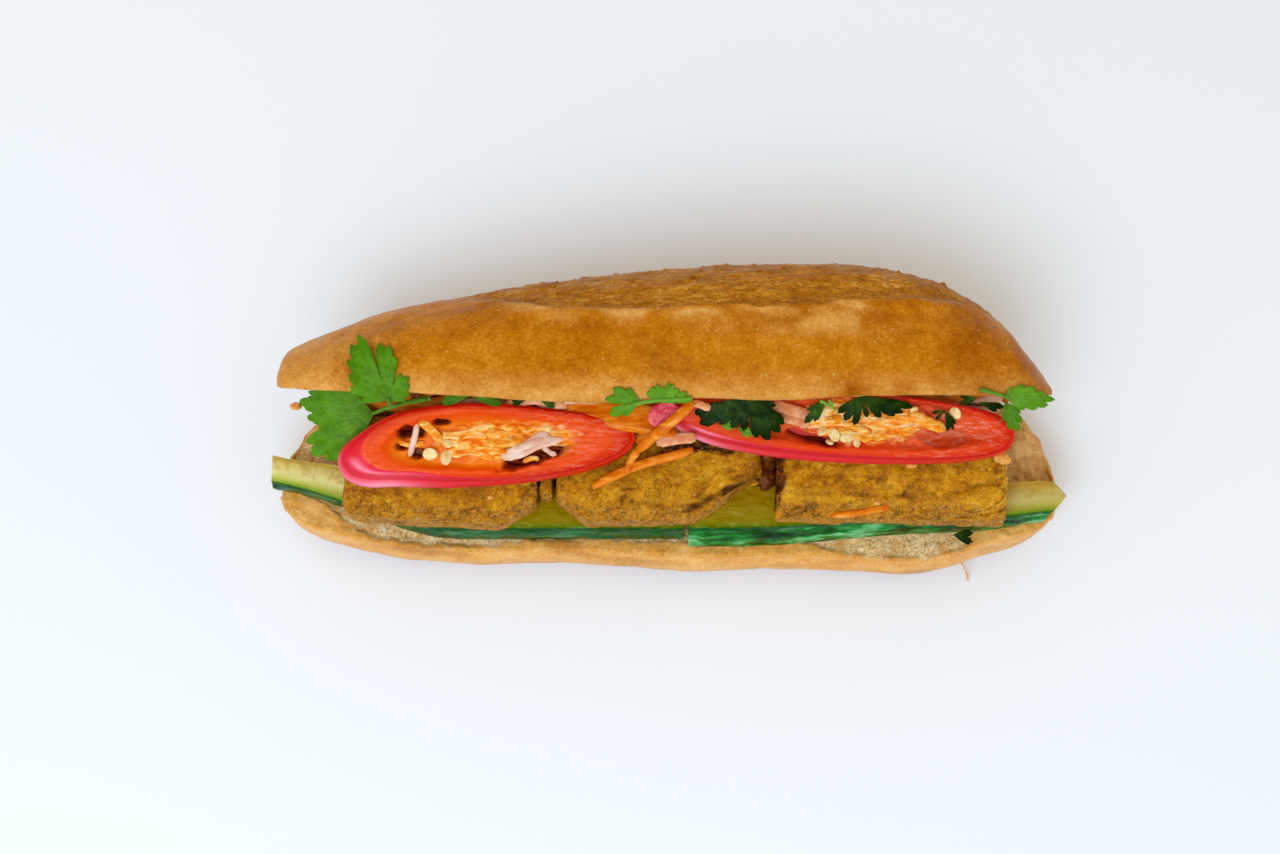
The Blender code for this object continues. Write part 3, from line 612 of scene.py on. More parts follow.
def upper_half(look):
    """The upper half. Returns its outer crust's points, for leaves to lie on."""
    rows, dome = 410, 128
    left, right = UPPER_RISE[0][0], UPPER_RISE[-1][0]
    x = crowded(left + 0.2, right - 0.2, rows)[:, None]
    s = (x - (left + right) / 2) / ((right - left) / 2)
    tip = np.where(x < 0, 34.0, 46.5)
    front = tip + (TOP_HALF_DEPTH - tip) * np.where(x < 0, fullness(s, 2.2, 2.0), fullness(s, 5.0, 2.2))
    back = tip * (1.0 - fullness(s, 4.0, 2.2))
    rise, wave = profile(x, UPPER_RISE), profile(x, UPPER_EDGE_WAVE)
    middle, half = (front + back) / 2, (front - back) / 2
    angle = np.pi * np.linspace(0, 1, dome)[None, :]
    u = signed_power(np.cos(angle), 0.9)
    relief, bloom, ear = score_relief(x, angle)
    dome_out = rise * np.sin(angle).clip(0) ** 0.9 + relief + wave * np.maximum(u, 0) ** 4
    across = np.linspace(-1, 1, 50)[None, 1:-1]
    dish = 2.5 * (1.0 - across**2) * fullness(s, 4.0, 1.0) + wave * np.maximum(across, 0) ** 4
    along = np.concatenate([middle + half * u, middle + half * across], axis=1)
    out = np.concatenate([dome_out, np.broadcast_to(dish, (rows, across.shape[1]))], axis=1)
    grid = upper_point(x, along, out)
    on_cut = (np.arange(along.shape[1])[None, :] >= dome) * np.ones((rows, 1))
    edge = np.minimum(front - along, along - back)
    crumb = on_cut * smoothstep(0.4, 1.8, edge + 0.8 * Noise(32).layered(grid / 3.0, 2))
    pad = np.zeros((rows, along.shape[1] - dome))
    bloom, ear = np.concatenate([bloom, pad], axis=1), np.concatenate([ear, pad], axis=1)
    blur = smoothstep(-0.5, 0.5, Noise(19).layered(grid / np.array([9.0, 3.5, 3.5]), 2) + (bloom - 0.5) * 2.4)
    bloom = np.where(bloom > 0.001, blur * smoothstep(0.0, 0.3, bloom), 0.0)
    normal = normals_of(grid)
    streaks = Noise(11).layered(grid / np.array([9.0, 1.7, 1.7]), 3)
    broad = 0.55 * Noise(12).layered(grid / np.array([26.0, 14.0, 14.0]))
    dimples = 0.16 * Noise(13)(grid / np.array([5.0, 3.2, 3.2]))
    blisters = 0.9 * smoothstep(0.42, 0.85, Noise(14)(grid / 2.6)) + 0.5 * smoothstep(0.5, 0.9, Noise(9)(grid / 1.8))
    torn = bloom * (0.38 * streaks + blisters)
    ragged = ear * (0.45 * Noise(15)(grid / np.array([3.5, 9.0, 9.0])) - 0.3)
    holes = Noise(16).layered(grid / 2.4, 2)
    pores = (-0.8 * smoothstep(0.15, 0.6, holes) + 0.5 * Noise(17)(grid / 6.0)) * crumb
    calm = smoothstep(0.0, 3.0, edge + 6.0 * (out > 4.0))
    inset = -0.7 * bump(51.7, 3.6, x) * smoothstep(12.0, 2.0, out) * (along > middle) * smoothstep(0.0, 2.0, out)
    grid = grid + normal * inset[..., None] * (1 - on_cut)[..., None]
    grid = grid + normal * ((broad * calm + dimples + torn + ragged) * (1 - on_cut) + pores)[..., None]
    low_edge = (1 - on_cut) * smoothstep(10.0, 0.5, out) * (along > middle)
    pale = np.maximum(low_edge * 0.55, (1 - on_cut) * smoothstep(-70, -108, x) * 0.45)
    peachy = bump(40, 20, x) * bump(SCORE_NEAR - 0.13, 0.11, np.concatenate([angle, 9.0 + 0 * pad[:1]], axis=1))
    pale = np.maximum(pale, 0.7 * ear * smoothstep(0.1, 0.5, Noise(20)(grid / np.array([16.0, 9.0, 9.0])) + 0.3))
    pale = np.maximum(pale, 0.9 * peachy * smoothstep(-0.4, 0.3, Noise(24)(grid / np.array([10.0, 6.0, 6.0]))))
    shoulder = bump(77, 13, x) * bump(66.0, 5.0, grid[..., 2]) * (1 - on_cut)
    pale = np.maximum(pale, 0.6 * shoulder * smoothstep(-0.5, 0.3, Noise(25)(grid / 8.0)))
    # Painted shade in the shallow dents near the front edge: no pale there, and darker.
    dent = (bump(51.7, 4.2, x) + 0.5 * bump(66, 4, x)) * smoothstep(12.0, 2.0, out) * (along > middle) * (1 - on_cut)
    pale = pale * (1 - 0.7 * bloom) * (1 - np.minimum(dent, 1.0))
    shade = smoothstep(0.05, 0.6, Noise(18).layered(grid / np.array([24.0, 11.0, 11.0]), 2))
    dark = (1 - on_cut) * np.maximum(0.32 * shade, 0.7 * smoothstep(90, 108, x)) * (1 - 0.7 * pale)
    # Painted shade high on the dome near the right end.
    burnt = bump(87, 9, x) * smoothstep(68.0, 74.0, grid[..., 2]) * (1 - on_cut)
    dark = np.maximum(dark, np.maximum(0.9 * dent, 0.7 * burnt))
    made = Piece("crumb", "bloom", "pale", "dark")
    made.add_rings(grid, crumb=crumb, bloom=bloom, pale=pale, dark=dark)
    made.finish("bread_upper", look, ("baguette",), "crust")
    return grid[:, :dome]


def hinge_strip(look):
    rows, columns = 150, 64
    t = np.linspace(0.01, np.pi - 0.01, rows)[:, None]
    angle = np.linspace(0, 2 * np.pi, columns, endpoint=False)[None, :]
    x = -98.0 * np.cos(t) * np.ones_like(angle)
    y = HINGE_Y - 3.4 + 8.8 * np.sin(t) * np.cos(angle)
    z = HINGE_Z - 2.0 + 9.5 * np.sin(t) * np.sin(angle)
    grid = np.stack([x, y, z], axis=-1)
    grid = grid + normals_of(grid) * (0.4 * Noise(21).layered(grid / np.array([9.0, 5.0, 5.0])))[..., None]
    folds = smoothstep(0.2, 0.7, Noise(22)(grid / np.array([8.0, 3.0, 3.0]))) * 0.5
    front = smoothstep(HINGE_Y - 1.0, HINGE_Y - 5.0, grid[..., 1])
    made = Piece("crumb", "bloom", "pale", "dark")
    made.add_rings(grid, crumb=front, pale=folds, dark=0.2)
    made.finish("bread_fold", look, ("baguette",), "crust")


# Cucumber

def cucumber(name, start, end, edge_at, lean_at, width_at, square_end, look, seed):
    rows, skin_count = 240, 26
    t = np.linspace(0, 1, rows)[:, None]
    x = start + (end - start) * t
    edge, lean, width = edge_at(x), lean_at(x), width_at(x)
    top, base = CUCUMBER_TOP_Z - 0.5 * (2 * t - 1) ** 2, CUT_Z + GAP
    q = np.linspace(0, 1, skin_count)[None, :]
    ys, zs = [edge - lean * q - 0.9 * np.sin(np.pi * q)], [top - (top - base) * q]
    corners = (
        (edge - lean, base + 0 * x),
        (edge + 0.55 * width, base + 0 * x),
        (edge + 0.92 * width, base + 3.0 + 0 * x),
        (edge + width, top - 0.4),
        (edge + 0.5 * width, top),
        (edge, top),
    )
    for (y0, z0), (y1, z1), n in zip(corners, corners[1:], (10, 5, 6, 14, 26)):
        f = np.linspace(0, 1, n + 1)[None, 1:]
        ys.append(y0 + (y1 - y0) * f)
        zs.append(z0 + (z1 - z0) * f)
    y, z = np.concatenate(ys, axis=1)[:, :-1], np.concatenate(zs, axis=1)[:, :-1]
    skin = (np.arange(y.shape[1])[None, :] < skin_count) * np.ones((rows, 1))
    inward = np.clip((y - edge) / width, 0, 1)
    if not square_end:
        x = x - 9.0 * smoothstep(0.85, 1.0, t) * np.abs((y - edge) / width - 0.5) ** 1.15
    grid = np.stack([np.broadcast_to(x, y.shape), y, z], axis=-1)
    stained = smoothstep(-98, -84, grid[..., 0] + 4 * Noise(seed + 3)(grid / 6.0)) * smoothstep(
        104, 94, grid[..., 0] + 4 * Noise(seed + 4)(grid / 6.0)
    )
    # On the skin, 0 marks the left spear, whose skin gets the darker painted-shade copy, and 1 the right spear.
    stained = np.where(skin > 0.5, 0.0 if square_end else 1.0, stained if square_end else np.maximum(stained, 0.5))
    inward[:, :skin_count] = q
    bumps = Noise(seed).layered(grid / np.array([6.0, 3.0, 3.0]), 3)
    seeds = Noise(seed + 1)(grid / np.array([4.5, 1.8, 2.0])) * smoothstep(0.45, 0.9, inward) * (1 - skin)
    roughness = 0.22 + 0.16 * skin
    grid = grid + normals_of(grid) * (roughness * bumps + 0.3 * seeds - 0.25)[..., None]
    made = Piece("skin", "inward", "stained")
    made.add_rings(grid, skin=skin, inward=inward, stained=stained)
    made.finish(name + "_spear", look, (name,), "cucumber")


# Tofu

def cube_surface(cuts):
    """Points from -1 to 1 on a cube's gridded surface, crowded towards its edges, and its quads."""
    steps = np.linspace(-1, 1, cuts + 1)
    steps = steps * (1.22 - 0.22 * steps**2)
    a, b = (v.ravel() for v in np.meshgrid(steps, steps, indexing="ij"))
    index = np.arange((cuts + 1) ** 2).reshape(cuts + 1, cuts + 1)
    quad = np.stack([index[:-1, :-1], index[1:, :-1], index[1:, 1:], index[:-1, 1:]], -1).reshape(-1, 4)
    points, quads = [], []
    for axis in range(3):
        for side in (-1.0, 1.0):
            sheet = np.zeros((len(a), 3))
            sheet[:, axis], sheet[:, (axis + 1) % 3], sheet[:, (axis + 2) % 3] = side, a, b
            quads.append((quad if side > 0 else quad[:, ::-1]) + len(points) * len(a))
            points.append(sheet)
    points, quads = np.concatenate(points), np.concatenate(quads)
    same, where = np.unique(np.round(points, 6), axis=0, return_inverse=True)
    return same, where.ravel()[quads]


def tofu(name, centre, size, turn, seed, corners, front_slope, creases, browned, look, cuts=72):
    """A fried slab: a block with soft uneven edges, its front corners cut and its front sloped as asked, and wrinkled."""
    cube, quads = cube_surface(cuts)
    half = np.array(size) / 2
    points = cube * half
    edge = np.minimum(2.0 + 1.0 * Noise(seed + 6)(points / 9.0), half.min() * 0.8)[:, None]
    core = np.clip(points, -(half - edge), half - edge)
    out = points - core
    out /= np.linalg.norm(out, axis=1, keepdims=True)
    points = core + edge * out
    x, y, z = points.T
    slope = smoothstep(-half[1] + 8.0, -half[1] + 0.5, y) * (z > 0)
    points[:, 2] -= front_slope * slope * (z / half[2])
    for side, cut, reach in corners:
        at_end = smoothstep(1.0 - reach, 1.05, side * x / half[0])
        points[:, 1] *= 1.0 - cut * at_end * smoothstep(0.2, -1.0, y / half[1])
    wide = Noise(seed).layered(points / np.array([13.0, 9.0, 7.0]), 2)
    folds = Noise(seed + 1)(points / np.array([7.0, 4.5, 4.0]) + 0.5 * wide[:, None])
    crease = bump(0.0, 0.10, folds) * smoothstep(-0.10, 0.45, Noise(seed + 2)(points / 9.0))
    buckled = points / np.array([2.6, 1.8, 1.8]) + 0.7 * Noise(seed + 8)(points / 4.0)[:, None]
    wrinkles = 1.0 - 2.2 * np.abs(Noise(seed + 3).layered(buckled, 3))
    front = np.maximum(smoothstep(0.3, 0.8, -out[:, 1]), smoothstep(0.25, 0.75, slope) * (front_slope > 0.5))
    front = np.clip(front + 0.6 * Noise(seed + 4)(points / 5.0) * (front > 0.02), 0, 1)
    marks, brown = np.zeros(len(points)), np.zeros(len(points))
    for x0, y0, x1, y1, depth, reach in creases:
        run = np.array([x1 - x0, y1 - y0])
        along = np.clip(((points[:, :2] - (x0, y0)) @ run) / (run @ run), 0, 1)
        wiggle = 0.6 * Noise(seed + 7)(points / 3.0)
        apart = np.linalg.norm(points[:, :2] - (x0, y0) - along[:, None] * run, axis=1) + wiggle
        marks += depth * bump(0.0, reach, apart) * (z > -2) * (0.6 + 0.4 * np.sin(np.pi * along))
        below = (points[:, 0] - x0) * run[1] - (points[:, 1] - y0) * run[0]
        flap = (depth > 1.2) * (below * np.sign(run[0]) > 0) * smoothstep(6.0, 3.0, apart) * (z > -2)
        front = np.maximum(front, flap * (along > 0.02) * (along < 0.98))
    # Dark brown patches: painted shade under the right chili and beside the gap between the middle and right slabs; the
    # skin there is also more wrinkled.
    for place in browned:
        ragged = oval(points[:, 0], points[:, 1], *place) + 0.4 * Noise(seed + 9).layered(points / 4.0, 2)
        brown = np.maximum(brown, smoothstep(1.1, 0.8, ragged) * (z > -3))
    rough = 0.42 + 0.45 * front + 0.7 * brown
    lift = 0.45 * wide - 0.5 * crease + 0.42 * wrinkles * rough - marks - 0.35
    points = points + out * lift[:, None]
    # Darker in the creases and wrinkle valleys, more so on the front.
    stain = np.clip(0.7 * crease + 0.8 * marks + 0.45 * smoothstep(0.5, -0.6, wrinkles) * (0.3 + 0.7 * front), 0, 1)
    stain = stain * smoothstep(-0.7, 0.3, Noise(seed + 5)(points / 4.0))
    made = Piece("crease", "front", "browned")
    points = turned(points, centre, turn, 0.0)
    made.add(points, (quads, np.zeros((0, 3), int)), crease=stain, front=front, browned=brown)
    made.finish(name + "_slab", look, (name,), "tofu")


# Chili

def oval(a, b, centre_a, centre_b, half_a, half_b, lean=0.0, power=2.0):
    """How far out a place is in a leaning oval, 1 on its edge."""
    c, s = math.cos(lean), math.sin(lean)
    p, q = (a - centre_a) * c + (b - centre_b) * s, (b - centre_b) * c - (a - centre_a) * s
    return (np.abs(p / half_a) ** power + np.abs(q / half_b) ** power) ** (1 / power)


def chili(name, centre, face, shoulder, bend, blunt, opening, skin, turn, pulp_at, hollows, pockets, bowl, shine, look, seed):
    """A slice cut along the pod: a thick wall round an opening that holds the seed core, and skin below its rim."""
    rows, spokes = 320, 54
    angle = np.linspace(0, 2 * np.pi, rows, endpoint=False)[:, None]
    c, s = np.cos(angle), np.sin(angle)
    power = 2.0 / (2.08 - 0.08 * c + blunt * np.maximum(0.0, c))
    narrower = 1.0 - shoulder * smoothstep(-0.3, 0.6, c) * smoothstep(0.0, 0.5, s)
    across = face[1] * signed_power(s, power) * narrower + bend * smoothstep(0.45, 1.0, -c) ** 1.5
    rim = np.stack([face[0] * signed_power(c, power), across, 0 * c], -1)
    outward = np.stack([c / face[0], s / face[1], 0 * c], -1)
    outward /= np.linalg.norm(outward, axis=-1, keepdims=True)
    belly = (skin[0] * (0.2 + 0.8 * np.maximum(0.0, np.cos(angle - skin[1])) ** 2))[..., None]
    down = np.array([0.0, -math.sin(CHILI_TILT), -math.cos(CHILI_TILT)]) * CHILI_DEPTH
    out_share = 1.0 - np.linspace(0, 1, spokes)[None, :, None] ** 1.15
    top = rim * out_share[:, ::-1]
    side = [rim + outward * belly * f + down * g for f, g in (
        (0.30, 0.03), (0.55, 0.10), (0.78, 0.20), (0.95, 0.34), (1.0, 0.46), (0.85, 0.62), (0.55, 0.78), (0.10, 0.92)
    )]
    under = [rim * f + down for f in (0.93, 0.75, 0.5, 0.2)]
    grid = np.concatenate([top, *side, *under], axis=1)
    count, on_side = spokes, len(side)
    flat = grid[:, :count]
    a, b = flat[..., 0], flat[..., 1]
    share = np.broadcast_to(out_share[:, ::-1, 0], a.shape)
    wobble = 0.10 * Noise(seed + 3)(flat / 7.0)
    within = oval(a, b, *opening) + wobble
    inside = smoothstep(1.12, 0.86, within)
    pulp = np.zeros_like(a)
    for blob in pulp_at:
        ragged = oval(a, b, *blob) + 0.22 * Noise(seed + 4).layered(flat / np.array([4.0, 2.0, 2.0]), 2)
        pulp = np.maximum(pulp, smoothstep(1.15, 0.90, ragged))
    # Hollows sink into the face and are coloured near-black red as painted shade; pockets get a little of that shade
    # too.
    deep = np.zeros_like(a)
    for hollow in hollows:
        ragged = oval(a, b, *hollow) + 0.22 * Noise(seed + 5).layered(flat / 2.6, 2)
        deep = np.maximum(deep, smoothstep(1.12, 0.75, ragged))
    pocket = np.zeros_like(a)
    for place in pockets:
        ragged = oval(a, b, *place) + 0.12 * Noise(seed + 8).layered(flat / 3.0, 2)
        pocket = np.maximum(pocket, smoothstep(1.1, 0.8, ragged) * (1 - pulp))
    tangled = flat / np.array([7.0, 2.4, 2.4]) + 0.8 * Noise(seed + 6)(flat / 5.0)[..., None]
    fibres = Noise(seed + 1).layered(tangled, 3)
    facing = 0.06 * skin[0] * np.maximum(0.0, np.cos(angle - skin[1])) ** 1.5
    skin_from = 0.975 - facing * np.ones_like(share)
    rounded = -1.1 * smoothstep(0.93, 1.0, share) ** 2 - 9.0 * facing * smoothstep(skin_from - 0.02, 1.0, share) ** 2
    swelling = 0.35 * bump(0.82, 0.12, share)
    z = rounded + swelling - bowl * inside * (1 - pulp) + (-0.2 + 0.8 * fibres) * pulp - 3.4 * deep - 0.8 * pocket
    z = z + 0.08 * Noise(seed + 2).layered(flat / np.array([6.0, 1.6, 1.6]), 2) * (1 - inside)
    grid[:, :count, 2] += z
    reach = count + on_side
    swell = 0.12 * Noise(seed + 7)(grid[:, count:reach] / 9.0)
    grid[:, count:reach] += outward * swell[..., None]
    skin_at, inward, pulps, deeps, pinkish = (np.zeros(grid.shape[:2]) for _ in range(5))
    skin_at[:, count:] = 1.0
    skin_at[:, :count] = smoothstep(skin_from, skin_from + 0.02, share)
    inward[:, :count] = np.clip(smoothstep(1.0, 0.55, share) * 0.6 + inside * 0.4, 0, 1)
    pulps[:, :count], deeps[:, :count] = pulp * (1 - deep), np.maximum(deep, 0.30 * pocket)
    # Painted highlight: pale streaks on the cut face, stronger towards the right end and in the opening.
    pinkish[:, :count] = smoothstep(0.0, face[0] * 0.6, a) * (0.4 + 0.6 * inside)
    # Painted highlight on the rounded rim, at the place, reach and strength that shine gives.
    on_slope = bump(shine[0], shine[1], a) * bump(0.94, 0.04, share) * smoothstep(-2.6, -5.6, b) * shine[2]
    pinkish[:, :count] = np.where(share > skin_from, on_slope, pinkish[:, :count])
    rosy = np.clip(facing * 6.0, 0.0, 1.0) * np.ones(grid.shape[:2])
    inward[:, :count] = np.where(share > skin_from, rosy[:, :count], inward[:, :count])
    inward[:, count:] = rosy[:, count:]
    at_skin = grid[:, count:]
    # Painted highlight on the skin below the rim, at the same place.
    gloss = bump(shine[0], shine[1], at_skin[..., 0]) * smoothstep(-1.0, -4.0, at_skin[..., 1])
    pinkish[:, count:] = gloss * bump(2.6, 1.7, np.arange(at_skin.shape[1])[None, :]) * shine[2]
    made = Piece("skin", "inward", "pulp", "deep", "pinkish")
    quads, tris = grid_faces(rows, grid.shape[1], ring=False, caps=False)
    index = np.arange(rows * grid.shape[1]).reshape(rows, grid.shape[1])
    closing = np.stack([index[-1, :-1], index[-1, 1:], index[0, 1:], index[0, :-1]], -1)
    last = len(index.ravel())
    ring = index[:, -1]
    bottom = np.stack([ring, np.roll(ring, -1), np.full(rows, last)], -1)
    spread = {"skin": skin_at, "inward": inward, "pulp": pulps, "deep": deeps, "pinkish": pinkish}
    values = {key: np.append(v.ravel(), v[:, -1].mean()) for key, v in spread.items()}
    points = np.concatenate([grid.reshape(-1, 3), grid[:, -1].mean(axis=0)[None]])
    centre_ring = index[:, 0]
    points[centre_ring] = points[centre_ring].mean(axis=0)
    made.add(turned(points, centre, turn, CHILI_TILT), (np.concatenate([quads, closing]), bottom), **values)
    made.finish(name + "_slice", look, (name,), "chili")


def chili_fibres(made, centre, turn, box, count, seed):
    """Flat torn strands of the seed core along the pod, in a box of the slice's own frame."""
    random = np.random.default_rng(seed)
    a0, a1, b0, b1 = box
    for k in range(count):
        reach = random.uniform(6, 12)
        start, b = random.uniform(a0, a1 - reach), random.uniform(b0, b1)
        drift = random.normal(0, 0.8)
        path = [
            (start + reach * f, b + drift * f + random.normal(0, 0.35), 0.45 * math.sin(math.pi * f) - 0.15)
            for f in (0, 0.33, 0.66, 1)
        ]
        path = turned(curve_through(path, 16), centre, turn, CHILI_TILT)
        radii = random.uniform(0.7, 1.6) * (fullness(np.linspace(-1, 1, 16), 2.0, 2.0) * 0.95 + 0.05)
        grid = tube(path, radii, 12, 0.34)
        grid = grid + 0.45 * Noise(seed + k)(grid / np.array([3.0, 1.6, 1.6]))[..., None]
        made.add_rings(grid, tone=1.0)


# Small things

def shred(made, path, width, seed, tone=1.0, flat=0.8, square=3.2, frayed=0.6):
    path = curve_through(path, 24)
    wobble = 1.0 + 0.12 * Noise(seed)(path / 6.0)
    step = np.minimum(np.arange(24), np.arange(24)[::-1])
    radii = width / 2 * wobble * (frayed + (1 - frayed) * np.minimum(1.0, step / 3.0))
    grid = tube(path, radii, 12, flat, square)
    grid = grid + 0.12 * Noise(seed + 500)(grid / 1.5)[..., None]
    made.add_rings(grid, tone=tone)


def disc_seed(made, place, tilt, spin, size=1.9):
    """A flat round chili seed with a raised rim and a small point."""
    rows, columns = 14, 22
    t = np.linspace(0.05, np.pi - 0.05, rows)[:, None]
    angle = np.linspace(0, 2 * np.pi, columns, endpoint=False)[None, :]
    radius = size * (1.0 + 0.14 * np.maximum(0, np.cos(angle)) ** 6)
    thick = 0.62 * signed_power(np.cos(t), 0.8) * (1 - 0.35 * (1 - np.sin(t) ** 4))
    grid = np.stack(
        [np.sin(t) * radius * np.cos(angle), np.sin(t) * radius * 0.88 * np.sin(angle), thick + 0 * angle], axis=-1
    )
    made.add_rings(turned(grid.reshape(-1, 3), place, spin, tilt).reshape(grid.shape))


def lump(made, place, size, seed, tone=1.0, stretch=(1, 1, 1)):
    rows, columns = 14, 18
    t = np.linspace(0.05, np.pi - 0.05, rows)[:, None]
    angle = np.linspace(0, 2 * np.pi, columns, endpoint=False)[None, :]
    grid = np.stack([np.sin(t) * np.cos(angle), np.sin(t) * np.sin(angle), np.cos(t) + 0 * angle], axis=-1)
    grid = grid * (1 + 0.35 * Noise(seed).layered(grid * 1.3 + seed, 2))[..., None] * size * np.array(stretch)
    made.add_rings(grid + np.array(place), tone=tone)


class Herbs:
    """Leaflets and stems in one mesh."""

    def __init__(self, crust):
        self.piece = Piece("vein", "tone", "outer")
        x, y, z = crust.reshape(-1, 3).T
        self.low = (-120.0, -30.0)
        cells = (np.floor(x - self.low[0]).astype(int), np.floor(y - self.low[1]).astype(int))
        height = np.full((241, 121), -100.0)
        np.maximum.at(height, cells, z)
        self.height = height.copy()
        reach, slope = 7, 0.8
        for di in range(-reach, reach + 1):
            for dj in range(-reach, reach + 1):
                lower = np.roll(height, (di, dj), (0, 1)) - slope * max(0.0, math.hypot(di, dj) - 1.5)
                self.height = np.maximum(self.height, lower)

    def above(self, points, clear):
        """The points, raised to clear the outer crust where they would sink into it."""
        across, back = points[:, 0] - self.low[0] - 0.5, points[:, 1] - self.low[1] - 0.5
        i, j = np.clip(np.floor(across).astype(int), 1, 238), np.clip(np.floor(back).astype(int), 1, 118)
        u, v = np.clip(across - i, 0, 1), np.clip(back - j, 0, 1)
        near = self.height[i, j] * (1 - u) + self.height[i + 1, j] * u
        crust = near * (1 - v) + (self.height[i, j + 1] * (1 - u) + self.height[i + 1, j + 1] * u) * v
        raised = points.copy()
        raised[:, 2] = np.maximum(points[:, 2], crust + clear)
        return raised

    def leaf(self, base, toward, up, lobes, seed, tone, teeth=0.13, curl=0.012, on_crust=False, tooth_count=1.5):
        """A toothed blade of lobes, each (degrees from the main way, length, half width in degrees)."""
        base, toward, up = (np.asarray(v, float) for v in (base, toward, up))
        forward = toward / np.linalg.norm(toward)
        side = np.cross(up, forward)
        side /= np.linalg.norm(side)
        normal = np.cross(forward, side)
        size = max(length for _, length, _ in lobes)
        across, rings = (221, 20) if size > 12 else (121, 14) if size > 6.5 else (81, 10)
        low = min(d - w for d, _, w in lobes)
        high = max(d + w for d, _, w in lobes)
        angle = np.radians(np.linspace(low, high, across))
        outline = np.full(across, 0.10 * size)
        for k, (degrees, length, half_width) in enumerate(lobes):
            t = (angle - math.radians(degrees)) / math.radians(half_width)
            shifted = t + 0.15 * Noise(seed + k)(np.stack([t * 2, t, t], -1))
            scallop = np.abs(np.cos(np.pi * tooth_count * shifted)) ** 0.6
            lobe = length * (1 - np.minimum(np.abs(t), 1.0) ** 2.8) ** 0.5
            outline = np.maximum(outline, lobe * (1 - teeth * (1 - scallop)))
        r = np.linspace(0.0, 1, rings)[:, None] ** 0.9 * np.ones((1, across))
        wave = Noise(seed + 20)(np.stack([angle * 2.3, 0 * angle + 5, 0 * angle], -1))
        x, y = r * outline * np.cos(angle + 0.05 * wave * r), r * outline * np.sin(angle + 0.05 * wave * r)
        ripple = Noise(seed + 21).layered(np.stack([x / 5.0, y / 5.0, 0 * x], -1), 2)
        veins, fold = np.zeros_like(x), np.zeros_like(x)
        for degrees, length, half_width in lobes:
            main = math.radians(degrees)
            for part, leave, thin in ((0.0, 0.0, 0.022), (-0.5, 0.55, 0.014), (0.5, 0.55, 0.014)):
                aim = main + part * math.radians(half_width)
                bent = main + (aim - main) * smoothstep(leave, leave + 0.5, r)
                width = (thin * 8.0 / size) / (0.15 + r)
                line = bump(bent, width, angle[None, :]) * smoothstep(1.0, 0.55, r)
                veins = np.maximum(veins, line * smoothstep(leave - 0.05, leave + 0.1, r) * (1.0 if part == 0 else 0.35))
            fold = np.maximum(fold, bump(main, math.radians(half_width) * 0.7, angle[None, :]))
        z = -curl * (x - size * 0.4) ** 2 - curl * 1.2 * y**2 + (0.035 * size * ripple + 0.004 * size * (fold - 0.5)) * r
        z = z - 0.08 * veins * min(1.0, tone * 1.5)
        top = (base + forward * x[..., None] + side * y[..., None] + normal * z[..., None]).reshape(-1, 3)
        if on_crust:
            top = self.above(top, 0.35 + 0.5 * np.abs(ripple).ravel())
        under = top - normal * 0.25
        quads, _ = grid_faces(rings, across, ring=False, caps=False)
        count = rings * across
        index = np.arange(count).reshape(rings, across)
        border = np.concatenate([index[0, :], index[1:, -1], index[-1, -2::-1], index[-2:0:-1, 0]])
        ahead = np.roll(border, -1)
        sides = np.stack([border, border + count, ahead + count, ahead], -1)
        faces = np.concatenate([quads, quads[:, ::-1] + count, sides])
        both = {"vein": veins, "tone": tone + 0.10 * ripple, "outer": r}
        values = {key: np.tile(value.ravel(), 2) for key, value in both.items()}
        self.piece.add(np.concatenate([top, under]), (faces, np.zeros((0, 3), int)), **values)

    def stem(self, path, radius, tone, on_crust=False):
        path = curve_through(path, 20)
        if on_crust:
            path = self.above(path, 0.8)
        self.piece.add_rings(tube(path, radius * np.linspace(1.0, 0.7, 20), 9), vein=0.4, tone=tone, outer=0.5)


def inner_face_y(z):
    """Where the upper half's cut face stands at a height."""
    return HINGE_Y - (z - HINGE_Z) / math.tan(TOP_OPENS)


